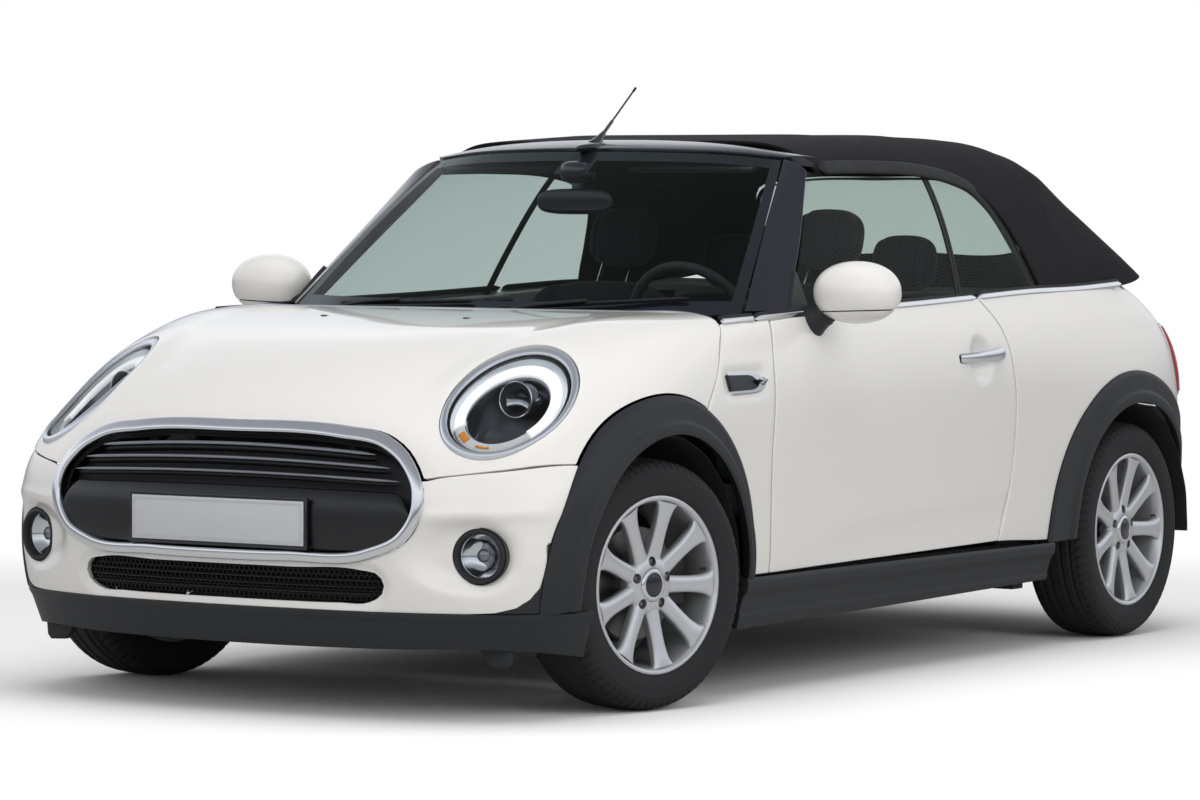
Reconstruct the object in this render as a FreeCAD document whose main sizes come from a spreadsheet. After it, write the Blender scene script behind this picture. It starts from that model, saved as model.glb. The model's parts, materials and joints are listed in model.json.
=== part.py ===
import FreeCAD, Part
import math
import os
import re

Vector = FreeCAD.Vector
Rotation = FreeCAD.Rotation
Placement = FreeCAD.Placement

# Driving dimensions in millimetres and degrees. Lengths along the car count from a plane between the axles.
SIZES = {
    "front_end": 1856, "rear_end": 1935, "half_width": 846, "front_axle": 1163.5, "wheelbase": 2495,
    "arch_bulge": 14, "roof_height": 1422, "shut_gap": 6.2,
    "track": 1485, "tyre_radius": 306, "tyre_width": 195, "rim_radius": 203, "wheel_height": 306,
    "tyre_shoulder": 32, "kingpin_half": 690, "steer_rest": 10.9, "rim_wall": 9, "spoke_count": 9,
    "spoke_radius": 17, "hub_radius": 74, "axle_radius": 18, "axle_fit": 0.08,
    "bolt_circle": 112, "bolt_hole": 6.5, "bolt_count": 5, "disc_radius": 140, "disc_thickness": 22,
    "knuckle_width": 46, "knuckle_depth": 90, "knuckle_height": 230, "pin_radius": 11, "pin_fit": 0.3,
    "pin_length": 30, "arm_width": 50, "arm_length": 120, "strut_radius": 26, "strut_top": 820,
    "caliper_reach": 92, "caliper_depth": 72, "caliper_height": 110, "disc_gap": 5, "plate_seat": 3,
    "arch_radius": 362, "arch_height": 308, "cladding_stand": 9,
    "panel": 22, "door_thickness": 62, "quarter_thickness": 60, "pane": 5, "fabric": 24,
    "door_front": 684, "door_rear": 613, "sill_line": 305, "seat_gap": 0.3,
    "floor_bottom": 190, "floor_thickness": 25, "sill_width": 90, "sill_height": 98,
    "sill_outer": 790, "floor_rear": 900, "boot_floor": 430, "boot_end": 1830,
    "bulkhead_place": 790, "bulkhead_thickness": 20, "bulkhead_half": 735, "bulkhead_top": 910.6,
    "engine_length": 430, "engine_width": 620, "engine_height": 400, "engine_bottom": 300,
    "engine_place": 1240, "rail_half": 395, "rail_width": 70, "rail_height": 100, "rail_bottom": 430,
    "rail_front": 1690, "seat_width": 490, "seat_length": 500, "seat_half": 345, "seat_cushion": 150,
    "seat_height": 470, "seat_place": 120, "rear_seat_front": 640, "rear_seat_half": 560,
    "back_thickness": 130, "back_height": 560, "back_lean": 20,
    "head_width": 250, "head_height": 170, "head_thickness": 100, "head_gap": 45, "post_radius": 6,
    "steering_radius": 180, "steering_section": 14, "column_lean": 24, "column_place": 250,
    "column_height": 900, "column_length": 260, "column_radius": 30, "antenna_length": 255,
    "antenna_radius": 4, "antenna_lean": 52, "plate_width": 520, "plate_height": 110, "plate_thickness": 3,
    "plate_centre": 467, "rear_plate_centre": 535, "hinge_place": 620,
    "hinge_half": 834, "hinge_low": 450, "hinge_high": 680, "hinge_plate": 8, "hinge_pin": 3.5,
    "jack_half": 745, "jack_front": 620, "jack_rear": 760, "jack_size": 60, "jack_drop": 20,
    "hinge_eye": 7, "hinge_reach": 100, "leg_width": 50, "lamp_radius": 86, "lamp_ring": 14,
    "fog_radius": 46, "lamp_depth": 60,
}

document = FreeCAD.newDocument("convertible_car")
sheet = document.addObject("Spreadsheet::Sheet", "Sizes")
for row, (alias, number) in enumerate(SIZES.items(), start=1):
    sheet.set("A%d" % row, alias)
    sheet.set("B%d" % row, str(number))
    sheet.setAlias("B%d" % row, alias)
document.recompute()


class Size:
    """The sheet's values, read back by name."""


size = Size()
for alias in SIZES:
    setattr(size, alias, float(sheet.get(alias)))
rear_axle = size.wheelbase - size.front_axle
front_reach = size.front_end + size.plate_seat + size.plate_thickness
rear_reach = size.rear_end + size.plate_seat + size.plate_thickness
frame_shift = (front_reach - rear_reach) / 2
subparts = []


# Smooth curves through hand-set points

def smooth(table, place):
    """Reads a smooth curve through the table's points, level beyond its ends."""
    if place <= table[0][0]:
        return table[0][1]
    if place >= table[-1][0]:
        return table[-1][1]
    first = 0
    while place > table[first + 1][0]:
        first += 1
    run = table[first + 1][0] - table[first][0]
    part = (place - table[first][0]) / run
    low_slope = slope_at(table, first) * run
    high_slope = slope_at(table, first + 1) * run
    low, high = table[first][1], table[first + 1][1]
    return ((2 * part ** 3 - 3 * part ** 2 + 1) * low + (part ** 3 - 2 * part ** 2 + part) * low_slope
            + (3 * part ** 2 - 2 * part ** 3) * high + (part ** 3 - part ** 2) * high_slope)


def slope_at(table, index):
    before = max(index - 1, 0)
    after = min(index + 1, len(table) - 1)
    if before == index or after == index:
        return (table[after][1] - table[before][1]) / (table[after][0] - table[before][0])
    run_before = table[index][0] - table[before][0]
    run_after = table[after][0] - table[index][0]
    rise_before = (table[index][1] - table[before][1]) / run_before
    rise_after = (table[after][1] - table[index][1]) / run_after
    return (rise_before * run_after + rise_after * run_before) / (run_before + run_after)


def curve(points):
    """A function that runs from 0 to 1 along the points, evenly by length."""
    reach = [0.0]
    for a, b in zip(points, points[1:]):
        reach.append(reach[-1] + math.dist(a, b))
    tables = []
    for axis in range(len(points[0])):
        tables.append([(reach[i] / reach[-1], point[axis]) for i, point in enumerate(points)])
    return lambda part: tuple(smooth(table, part) for table in tables)


def steps(count):
    """Even places from 0 up to, but without, 1."""
    return [index / count for index in range(count)]


# The body's outer surface. A point is inside where the sum is under 1.

SIDE_INSET = [(140, 46), (200, 31), (260, 15), (330, 6), (450, 2), (600, 0), (700, 1), (780, 7), (850, 18),
              (900, 32), (950, 52), (1010, 78), (1100, 131), (1250, 226)]
NOSE_INSET = [(140, 66), (200, 43), (262, 24), (333, 10), (400, 2), (467, 0), (540, 1), (600, 9), (650, 24),
              (701, 50), (747, 82), (800, 122), (850, 162), (950, 234)]
TAIL_INSET = [(140, 80), (200, 50), (262, 27), (333, 12), (400, 4), (467, 0), (540, 0), (600, 0), (685, 2),
              (760, 12), (834, 30), (880, 52), (924, 85), (960, 120), (1000, 165), (1100, 225)]
TOP_LINE = [(-1870, 850), (-1727, 880), (-1600, 885), (-1500, 892), (-1400, 905), (-1300, 920), (-1200, 932),
            (-1115, 941), (-1000, 950), (-860, 957), (-760, 961), (-664, 964), (-600, 990), (-500, 1150),
            (-400, 1300), (1000, 1300), (1300, 1120), (1450, 1045), (1600, 1012), (1900, 1000)]
SHOULDER_LINE = [(-1870, 470), (-1500, 480), (-1200, 540), (-860, 600), (1900, 600)]
SQUARENESS = [(-1870, 2.2), (-1640, 2.2), (-1500, 2.5), (-1300, 4.2), (-1100, 8), (-900, 16), (-760, 20),
              (-600, 18), (1300, 12), (1500, 9), (1700, 2.8), (1850, 2.2)]
NOSE_START = -1000
TAIL_START = 1050
NOSE_ROUNDING = 6.3
TAIL_ROUNDING = 5.5
BULGE_REACH = 300
BULGE_HEIGHT = 520
BULGE_RISE = 360


def bulge(y, z):
    """The swell of the sides round the wheels."""
    swell = sum(math.exp(-((y - axle) / BULGE_REACH) ** 2) for axle in (-size.front_axle, rear_axle))
    return size.arch_bulge * swell * max(0.0, 1 - ((z - BULGE_HEIGHT) / BULGE_RISE) ** 2)


def outside(x, y, z):
    power = smooth(SQUARENESS, y)
    across = abs(x) / (size.half_width - smooth(SIDE_INSET, z) + bulge(y, z))
    along = 0.0
    if y < NOSE_START:
        nose = size.front_end - smooth(NOSE_INSET, z)
        along = ((NOSE_START - y) / (NOSE_START + nose)) ** NOSE_ROUNDING
    if y > TAIL_START:
        tail = size.rear_end - smooth(TAIL_INSET, z)
        along = ((y - TAIL_START) / (tail - TAIL_START)) ** TAIL_ROUNDING
    base = smooth(SHOULDER_LINE, y)
    up = max(0.0, (z - base) / (smooth(TOP_LINE, y) - base))
    return across ** power + along + up ** power


def cast(start, heading, inside_test):
    """The distance along a ray from inside a surface to that surface."""
    def is_in(reach):
        return inside_test(start[0] + heading[0] * reach, start[1] + heading[1] * reach,
                           start[2] + heading[2] * reach) < 1
    far = 0.0
    while is_in(far) and far < 3000:
        far += 50
    near = far - 50
    for _ in range(22):
        middle = (near + far) / 2
        if is_in(middle):
            near = middle
        else:
            far = middle
    return near


def spine(point):
    """The point inside the body from which a panel's point is cast outwards."""
    x, y, z = point
    middle = y
    if y < -900:
        middle = -900 + 0.35 * (y + 900)
    if y > 900:
        middle = 900 + 0.35 * (y - 900)
    return (0.0, middle, z)


def low_spine(point):
    """The same for panels that lie on top of the body."""
    x, middle, z = spine(point)
    return (0.5 * point[0], middle, 420)


def land(point, anchor=spine, surface=outside):
    """Moves a point onto the surface, along the line from its anchor."""
    start = anchor(point)
    run = [point[k] - start[k] for k in range(3)]
    length = math.sqrt(sum(step * step for step in run))
    heading = [step / length for step in run]
    reach = cast(start, heading, surface)
    return tuple(start[k] + heading[k] * reach for k in range(3))


# Panels as patches of a surface between four edges

def coons(low, high, left, right, columns, rows):
    """A grid of points between four edges that meet at the corners."""
    corners = (low(0), low(1), high(0), high(1))
    grid = []
    for i in range(columns):
        u = i / (columns - 1)
        line = []
        for j in range(rows):
            v = j / (rows - 1)
            point = []
            for k in range(3):
                ruled = (1 - v) * low(u)[k] + v * high(u)[k] + (1 - u) * left(v)[k] + u * right(v)[k]
                twice = ((1 - u) * (1 - v) * corners[0][k] + u * (1 - v) * corners[1][k]
                         + (1 - u) * v * corners[2][k] + u * v * corners[3][k])
                point.append(ruled - twice)
            line.append(tuple(point))
        grid.append(line)
    return grid


def grid_normal(grid, i, j, away):
    """The grid's normal at one point, turned away from a point inside."""
    columns, rows = len(grid), len(grid[0])
    a, b = grid[max(i - 1, 0)][j], grid[min(i + 1, columns - 1)][j]
    c, d = grid[i][max(j - 1, 0)], grid[i][min(j + 1, rows - 1)]
    normal = (Vector(*b) - Vector(*a)).cross(Vector(*d) - Vector(*c))
    normal.normalize()
    if normal.dot(Vector(*grid[i][j]) - Vector(*away)) < 0:
        normal = -normal
    return normal


def interpolated(points):
    surface = Part.BSplineSurface()
    surface.interpolate(points)
    return surface


def shell_solid(grid, outer, inner, anchor=spine):
    """A closed solid between the grid moved out by one distance and by another."""
    layers = []
    for distance in (outer, inner):
        points = []
        for i, line in enumerate(grid):
            row = []
            for j, point in enumerate(line):
                normal = grid_normal(grid, i, j, anchor(point))
                row.append(Vector(*point) + normal * distance)
            points.append(row)
        layers.append(interpolated(points))
    faces = [layer.toShape() for layer in layers]
    u_low, u_high, v_low, v_high = layers[0].bounds()
    for place in (u_low, u_high):
        faces.append(Part.makeRuledSurface(layers[0].uIso(place).toShape(), layers[1].uIso(place).toShape()))
    for place in (v_low, v_high):
        faces.append(Part.makeRuledSurface(layers[0].vIso(place).toShape(), layers[1].vIso(place).toShape()))
    skin = Part.makeCompound(faces)
    skin.sewShape()
    solid = Part.makeSolid(skin.Shells[0])
    if solid.Volume < 0:
        solid.reverse()
    return solid


def panel(low, high, left, right, thickness, columns=15, rows=9, anchor=spine, stand=0.0, surface=outside):
    """A panel on the surface, bounded by four edges given as points near it."""
    edges = [curve([land(point, anchor, surface) for point in edge]) for edge in (low, high, left, right)]
    grid = coons(*edges, columns, rows)
    grid = [[land(point, anchor, surface) for point in line] for line in grid]
    return shell_solid(grid, stand, stand - thickness, anchor)


def mirrored(shape):
    return shape.mirror(Vector(0, 0, 0), Vector(1, 0, 0))


def both(shape):
    return Part.makeCompound([shape, mirrored(shape)])


def largest(shape):
    """The biggest solid of a shape, without the scraps of a cut."""
    return max(shape.Solids, key=lambda piece: piece.Volume)


def side_edge(points, width=None):
    """Side points given along and up, as points in space."""
    return [(size.half_width if width is None else width, y, z) for y, z in points]


def across_edge(points):
    """Points of the left half from the side to the middle, joined to their mirror image."""
    right = [(-x, y, z) for x, y, z in reversed(points) if x > 0]
    return points + right


def rod(start, end, radius):
    run = Vector(*end) - Vector(*start)
    return Part.makeCylinder(radius, run.Length, Vector(*start), run)


def feature(label, shape):
    """A sub-part whose shape is built from points, kept under its own label."""
    thing = document.addObject("Part::Feature", label)
    thing.Label = label
    thing.Shape = shape
    thing.Placement = Placement(Vector(0, frame_shift, 0), Rotation())
    subparts.append(thing)
    return thing


# Sub-parts from primitives, whose sizes are bound to the sheet

def bound(text):
    """Puts the sheet's name before each size in an expression."""
    return re.sub(r"[a-z_]+", lambda word: "Sizes." + word.group() if word.group() in SIZES else word.group(),
                  str(text))


def bind(thing, **expressions):
    for name, text in expressions.items():
        thing.setExpression(name.replace("__", "."), bound(text))


def solid(kind, label, place=("0", "0", "0"), turn=None, **expressions):
    """A primitive with its sizes and place given as expressions."""
    thing = document.addObject(kind, label)
    if turn is not None:
        thing.Placement = Placement(Vector(), turn)
    bind(thing, **expressions)
    for axis, text in zip("xyz", place):
        thing.setExpression("Placement.Base." + axis, bound(text))
    return thing


def joined(label, things):
    if len(things) == 1:
        return things[0]
    whole = document.addObject("Part::MultiFuse", label)
    whole.Shapes = things
    return whole


def cut(label, base, tool):
    thing = document.addObject("Part::Cut", label)
    thing.Base = base
    thing.Tool = tool
    return thing


def finish(label, thing, turn=None, place=None):
    """Moves a finished sub-part into the frame and files it under its label."""
    base = Vector(*(place or (0, 0, 0))) + Vector(0, frame_shift, 0)
    holder = document.addObject("Part::Compound", label)
    holder.Links = [thing]
    holder.Label = label
    holder.Placement = Placement(base, turn or Rotation())
    subparts.append(holder)
    return holder


ALONG_X = Rotation(Vector(0, 1, 0), 90)
ALONG_Y = Rotation(Vector(1, 0, 0), -90)


# Wheels, each about its own axle at the origin, with the outer side towards +X

def ring(label, outer, inner, width, start):
    """A ring about X from primitives."""
    rim = solid("Part::Cylinder", label + "_outer", (start, "0", "0"), ALONG_X, Radius=outer, Height=width)
    bore = solid("Part::Cylinder", label + "_bore", (start + " - 1", "0", "0"), ALONG_X, Radius=inner,
                 Height="(" + width + ") + 2")
    return cut(label, rim, bore)


def tyre(label):
    base = ring(label + "_ring", "tyre_radius", "rim_radius + 0.3", "tyre_width", "0 - tyre_width / 2")
    document.recompute()
    rounded = document.addObject("Part::Fillet", label + "_round")
    rounded.Base = base
    edges = []
    for index, edge in enumerate(base.Shape.Edges, start=1):
        if edge.Closed and abs(edge.Curve.Radius - size.tyre_radius) < 0.1:
            edges.append((index, size.tyre_shoulder, size.tyre_shoulder))
    rounded.Edges = edges
    return rounded


def wheel(label):
    """Rim, spokes, hub and brake disc of one wheel."""
    things = [ring(label + "_barrel", "rim_radius", "rim_radius - rim_wall", "tyre_width - 19",
                   "0 - tyre_width / 2 + 9.5")]
    lip = ring(label + "_lip", "rim_radius + 12", "rim_radius - rim_wall", "9", "tyre_width / 2 + 0.3")
    things.append(lip)
    count = int(size.spoke_count)
    for index in range(count):
        angle = 360.0 * index / count + 38
        spoke = document.addObject("Part::Cone", label + "_spoke")
        bind(spoke, Radius1="spoke_radius + 6", Radius2="spoke_radius", Height="rim_radius - 45")
        turn = Rotation(Vector(1, 0, 0), angle - 90) * Rotation(Vector(0, 1, 0), -5)
        spoke.Placement = Placement(Vector(62, 0, 0) + turn.multVec(Vector(0, 0, 40)), turn)
        things.append(spoke)
    hub = solid("Part::Cylinder", label + "_hub", ("22", "0", "0"), ALONG_X, Radius="hub_radius", Height="58")
    disc = solid("Part::Cylinder", label + "_disc", ("-12", "0", "0"), ALONG_X, Radius="disc_radius",
                 Height="disc_thickness")
    bell = solid("Part::Cylinder", label + "_bell", ("-12", "0", "0"), ALONG_X, Radius="hub_radius",
                 Height="46")
    whole = joined(label + "_joined", things + [hub, disc, bell])
    bore = solid("Part::Cylinder", label + "_axle_bore", ("-13", "0", "0"), ALONG_X,
                 Radius="axle_radius + axle_fit", Height="70")
    tools = [bore]
    for index in range(int(size.bolt_count)):
        angle = math.radians(360.0 * index / size.bolt_count + 90)
        spot = Vector(60, size.bolt_circle / 2 * math.cos(angle), size.bolt_circle / 2 * math.sin(angle))
        hole = solid("Part::Cylinder", label + "_bolt_hole", turn=ALONG_X, Radius="bolt_hole", Height="25")
        hole.Placement = Placement(spot, ALONG_X)
        tools.append(hole)
    return cut(label + "_drilled", whole, joined(label + "_holes", tools))


HALF_TRACK = size.track / 2
STEER = Rotation(Vector(0, 0, 1), -size.steer_rest)


def steered(side):
    """The place and turn of a steered wheel at rest."""
    kingpin = Vector(side * size.kingpin_half, -size.front_axle, size.wheel_height)
    centre = kingpin + STEER.multVec(Vector(side * (HALF_TRACK - size.kingpin_half), 0, 0))
    turn = STEER if side > 0 else STEER * Rotation(Vector(0, 0, 1), 180)
    return centre, turn


for side, name in ((1, "left"), (-1, "right")):
    centre, turn = steered(side)
    finish("tyre_front_" + name, tyre("tyre_front_%s_solid" % name), turn, centre)
    finish("wheel_front_" + name, wheel("wheel_front_%s_solid" % name), turn, centre)
    centre = (side * HALF_TRACK, rear_axle, size.wheel_height)
    turn = Rotation() if side > 0 else Rotation(Vector(0, 0, 1), 180)
    finish("tyre_rear_" + name, tyre("tyre_rear_%s_solid" % name), turn, centre)
    finish("wheel_rear_" + name, wheel("wheel_rear_%s_solid" % name), turn, centre)


# Running gear

def carrier(label, caliper_side, with_pins):
    """Upright, axle stub and caliper of one wheel, about the wheel's centre."""
    inboard = "kingpin_half - track / 2"
    upright = solid("Part::Box", label + "_upright",
                    (inboard + " - knuckle_width / 2", "0 - knuckle_depth / 2", "0 - knuckle_height / 2"),
                    Length="knuckle_width", Width="knuckle_depth", Height="knuckle_height")
    stub = solid("Part::Cylinder", label + "_stub", (inboard, "0", "0"), ALONG_X, Radius="axle_radius",
                 Height="track / 2 - kingpin_half + 40")
    start = "caliper_reach" if caliper_side > 0 else "0 - caliper_reach - caliper_depth"
    block = solid("Part::Box", label + "_caliper", (inboard, start, "0 - caliper_height / 2"),
                  Length="track / 2 - kingpin_half + 22", Width="caliper_depth", Height="caliper_height")
    slot = solid("Part::Box", label + "_slot", ("0 - 12 - disc_gap", start + " - 1", "0 - caliper_height"),
                 Length="disc_thickness + 2 * disc_gap", Width="caliper_depth - 14",
                 Height="2 * caliper_height")
    if caliper_side < 0:
        slot.setExpression("Placement.Base.y", bound(start + " + 15"))
    bracket_start = "0" if caliper_side > 0 else "0 - caliper_reach - 20"
    bracket = solid("Part::Box", label + "_bracket", (inboard + " - knuckle_width / 2", bracket_start, "-25"),
                    Length="knuckle_width - 6", Width="caliper_reach + 20", Height="50")
    pieces = [upright, stub, cut(label + "_clasp", block, slot), bracket]
    if with_pins:
        pieces.append(solid("Part::Cylinder", label + "_pins",
                            (inboard, "0", "0 - knuckle_height / 2 - pin_length"), Radius="pin_radius",
                            Height="knuckle_height + 2 * pin_length"))
    return joined(label + "_joined", pieces)


for side, name in ((1, "left"), (-1, "right")):
    centre, turn = steered(side)
    finish("knuckle_" + name, carrier("knuckle_%s_solid" % name, side, True), turn, centre)


def eye(label, side, height):
    """A bushing that holds a kingpin, with its arm to the strut or the subframe."""
    sign = "" if side > 0 else "0 - "
    axis_x = sign + "kingpin_half"
    barrel = solid("Part::Cylinder", label + "_eye", (axis_x, "0 - front_axle", height),
                   Radius="pin_radius + 11",
                   Height="pin_length - 6")
    arm_start = "kingpin_half - arm_length" if side > 0 else "0 - kingpin_half"
    arm = solid("Part::Box", label + "_arm", (arm_start, "0 - front_axle - arm_width / 2", height),
                Length="arm_length", Width="arm_width", Height="pin_length - 6")
    bore = solid("Part::Cylinder", label + "_bore", (axis_x, "0 - front_axle", height + " - 1"),
                 Radius="pin_radius + pin_fit", Height="pin_length")
    return cut(label + "_bored", joined(label + "_whole", [barrel, arm]), bore)


def front_subframe():
    """Lower and upper arms, strut tubes and the cross members that join them under the engine."""
    pieces = []
    low = "wheel_height - knuckle_height / 2 - pin_length + 3"
    high = "wheel_height + knuckle_height / 2 + 3"
    for side, name in ((1, "left"), (-1, "right")):
        pieces.append(eye("lower_arm_" + name, side, low))
        pieces.append(eye("upper_arm_" + name, side, high))
        strut_x = "kingpin_half - arm_length + 5" if side > 0 else "0 - kingpin_half + arm_length - 5"
        pieces.append(solid("Part::Cylinder", "strut_" + name, (strut_x, "0 - front_axle", low),
                            Radius="strut_radius", Height="strut_top - wheel_height + knuckle_height / 2"))
        leg_x = "rail_half + 10" if side > 0 else "0 - rail_half - 10 - leg_width"
        pieces.append(solid("Part::Box", "subframe_leg", (leg_x, "0 - front_axle - 40", low),
                            Length="leg_width",
                            Width="80", Height="rail_bottom - seat_gap - (%s)" % low))
    pieces.append(solid("Part::Box", "front_cross_member",
                        ("0 - kingpin_half + arm_length - 5", "0 - front_axle - 60", low),
                        Length="2 * (kingpin_half - arm_length + 5)", Width="120", Height="60"))
    return joined("front_subframe_solid", pieces)


finish("front_subframe", front_subframe())


def rear_axle_beam():
    """A beam between the rear carriers, with trailing arms up to the floor."""
    pieces = [solid("Part::Cylinder", "axle_beam", ("0 - kingpin_half", "wheelbase - front_axle",
                                                    "wheel_height"),
                    ALONG_X, Radius="36", Height="2 * kingpin_half")]
    for side in (1, -1):
        start = "kingpin_half - 115" if side > 0 else "0 - kingpin_half + 55"
        pieces.append(solid("Part::Box", "trailing_arm",
                            (start, "floor_rear + 0.3", "wheel_height - 45"),
                            Length="60", Width="wheelbase - front_axle - floor_rear + 20", Height="60"))
    return joined("rear_axle_solid", pieces)


axle_pieces = [rear_axle_beam()]
for side, name in ((1, "left"), (-1, "right")):
    unit = document.addObject("Part::Compound", "rear_carrier_" + name)
    unit.Links = [carrier("rear_carrier_%s_solid" % name, -side, False)]
    turn = Rotation() if side > 0 else Rotation(Vector(0, 0, 1), 180)
    unit.Placement = Placement(Vector(side * HALF_TRACK, rear_axle, size.wheel_height), turn)
    axle_pieces.append(unit)
finish("rear_axle", joined("rear_axle_whole", axle_pieces))


# Floor, rails and the engine

def box(label, low, high):
    """A box between two corners given as expressions."""
    spans = ["(%s) - (%s)" % (b, a) for a, b in zip(low, high)]
    return solid("Part::Box", label, low, Length=spans[0], Width=spans[1], Height=spans[2])


SILL_IN = "sill_outer - sill_width"
FLOOR_FRONT = "0 - bulkhead_place + bulkhead_thickness + seat_gap"
floor = [box("floor_plate", ("0 - sill_outer", FLOOR_FRONT, "floor_bottom"),
             ("sill_outer", "floor_rear", "floor_bottom + floor_thickness"))]
for low, high in ((SILL_IN, "sill_outer"), ("0 - sill_outer", "0 - sill_outer + sill_width")):
    floor.append(box("sill", (low, FLOOR_FRONT, "floor_bottom"),
                     (high, "floor_rear - 30", "floor_bottom + sill_height")))
floor.append(box("tunnel", ("-90", FLOOR_FRONT, "floor_bottom"),
                 ("90", "rear_seat_front - seat_gap", "floor_bottom + 130")))

boot = [box("boot_floor", ("-560", "floor_rear - 20", "boot_floor"), ("560", "boot_end", "boot_floor + 20")),
        box("boot_front", ("-640", "floor_rear - 20", "floor_bottom"),
            ("640", "floor_rear", "boot_floor + 10"))]
for low_x, high_x in (("jack_half - jack_size / 2", "jack_half + jack_size / 2"),
                      ("0 - jack_half - jack_size / 2", "0 - jack_half + jack_size / 2")):
    for low_y in ("0 - jack_front", "jack_rear"):
        floor.append(box("jack_pad", (low_x, low_y + " - jack_size / 2", "floor_bottom - jack_drop"),
                         (high_x, low_y + " + jack_size / 2", "floor_bottom + 5")))
finish("floor", joined("floor_solid", floor + boot))
finish("bulkhead", box("bulkhead_solid", ("0 - bulkhead_half", "0 - bulkhead_place", "floor_bottom"),
                       ("bulkhead_half", "0 - bulkhead_place + bulkhead_thickness", "bulkhead_top")))

rails = []
for low, high in (("rail_half", "rail_half + rail_width"), ("0 - rail_half - rail_width", "0 - rail_half")):
    rails.append(box("rail", (low, "0 - rail_front", "rail_bottom"),
                     (high, "0 - bulkhead_place - seat_gap", "rail_bottom + rail_height")))
for low, high in (("engine_width / 2 + seat_gap", "rail_half + 5"),
                  ("0 - rail_half - 5", "0 - engine_width / 2 - seat_gap")):
    rails.append(box("engine_mount", (low, "0 - engine_place - 40", "rail_bottom + 10"),
                     (high, "0 - engine_place + 40", "rail_bottom + 70")))
rails.append(box("front_beam", ("-560", "0 - rail_front - 50", "rail_bottom"),
                 ("560", "0 - rail_front", "rail_bottom + rail_height")))
finish("engine", box("engine_solid", ("0 - engine_width / 2", "0 - engine_place - engine_length / 2",
                                      "engine_bottom"),
                     ("engine_width / 2", "0 - engine_place + engine_length / 2",
                      "engine_bottom + engine_height")))
finish("fuel_tank", box("fuel_tank_solid", ("-480", "560", "floor_bottom - 60"),
                        ("480", "floor_rear - 20", "floor_bottom - seat_gap")))


# Tools that open the panels

FRONT_CLADDING = [(-40, 408), (10, 400), (45, 428), (90, 456), (120, 462), (180, 462), (200, 455)]
REAR_CLADDING = [(-40, 440), (0, 440), (45, 446), (90, 452), (127, 466), (160, 500), (182, 520), (200, 520)]


def arch_tool(place, table, grow):
    """A plug the shape of an arch cladding's outer edge, down past the sills."""
    corners = []
    for index in range(49):
        angle = -10 + 200 * index / 48
        turn = math.radians(angle)
        reach = smooth(table, angle) + grow
        corners.append(Vector(450, place + reach * math.cos(turn), size.arch_height + reach * math.sin(turn)))
    corners.append(Vector(450, corners[-1].y, 0))
    corners.append(Vector(450, corners[0].y, 0))
    return Part.Face(Part.makePolygon(corners + corners[:1])).extrude(Vector(600, 0, 0))


SEAM = 0.4
FRONT_HOLE = arch_tool(-size.front_axle, FRONT_CLADDING, SEAM)
REAR_HOLE = arch_tool(rear_axle, REAR_CLADDING, SEAM)
BONNET_HOLE = arch_tool(-size.front_axle, FRONT_CLADDING, size.shut_gap)


def outline_face(points, place):
    """A flat face across the car from a closed smooth outline of its left half."""
    loop = points + [(-x, z) for x, z in reversed(points) if x > 0]
    start = len(points) // 2
    loop = loop[start:] + loop[:start]
    path = curve(loop + loop[:1])
    line = Part.BSplineCurve()
    line.interpolate(Points=[Vector(x, place, z) for x, z in map(path, steps(72))], PeriodicFlag=True)
    return Part.Face(Part.Wire([line.toShape()]))


def nose_prism(points):
    return outline_face(points, -size.front_end - 60).extrude(Vector(0, 420, 0))


# Front panels, from the left side to the middle

MOVING_GAP = 5
SEAT = Vector(0, 0, -size.seat_gap)

shut = size.shut_gap
GRILLE_TOP = [(538, 578), (500, 630), (430, 672), (300, 692), (0, 700)]


def front_shut_line(rise):
    """The joint between bonnet and bumper, up round the grille."""
    side = [(845, -1400, 590), (820, -1512, 611), (700, -1690, 600), (590, -1765, 586)]
    nose = [(x, -1780, z + max(rise, 0)) for x, z in GRILLE_TOP]
    return across_edge([(x, y, z + rise) for x, y, z in side + nose])


def scuttle_line(shift):
    """The joint between bonnet and scuttle, from the arch to the windscreen's foot."""
    return [(855, -1050 + shift, 650), (848, -996 + shift, 731), (838, -933 + shift, 813),
            (815, -893 + shift, 878), (790, -850 + shift, 930)]


bonnet_back = scuttle_line(-shut / 2) + [(720, -838, 953), (500, -842, 957), (250, -850, 957), (0, -855, 957)]
bonnet_side = [(845, -1400, 590 + shut / 2), (860, -1230, 585), (855, -1050 - shut / 2, 650)]
bonnet = panel(front_shut_line(shut / 2), across_edge(bonnet_back), bonnet_side,
               [(-x, y, z) for x, y, z in bonnet_side], size.panel, 41, 17, low_spine)

LAMP_MIDDLE = Vector(627, -1539, 751)
LAMP_AXIS = Vector(0.025, -0.86, -0.127)
LAMP_AXIS.normalize()
LAMP_SIDE = Vector(0, 0, 1).cross(LAMP_AXIS)
LAMP_SIDE.normalize()
LAMP_UP = LAMP_AXIS.cross(LAMP_SIDE)
LAMP_BACK = LAMP_AXIS * 400


def lamp_spot(across, upward):
    """A point on the body, given as it is seen along the lamp's axis."""
    spot = LAMP_MIDDLE + LAMP_SIDE * across + LAMP_UP * upward
    return Vector(*land(tuple(spot), lambda point: tuple(Vector(*point) - LAMP_BACK)))


LAMP_CENTRE = lamp_spot(0, 0)
LAMP_NORMAL = (lamp_spot(size.lamp_radius, 0) - lamp_spot(-size.lamp_radius, 0)).cross(
    lamp_spot(0, size.lamp_radius) - lamp_spot(0, -size.lamp_radius))
LAMP_NORMAL.normalize()
if LAMP_NORMAL.z < 0:
    LAMP_NORMAL = -LAMP_NORMAL


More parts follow.
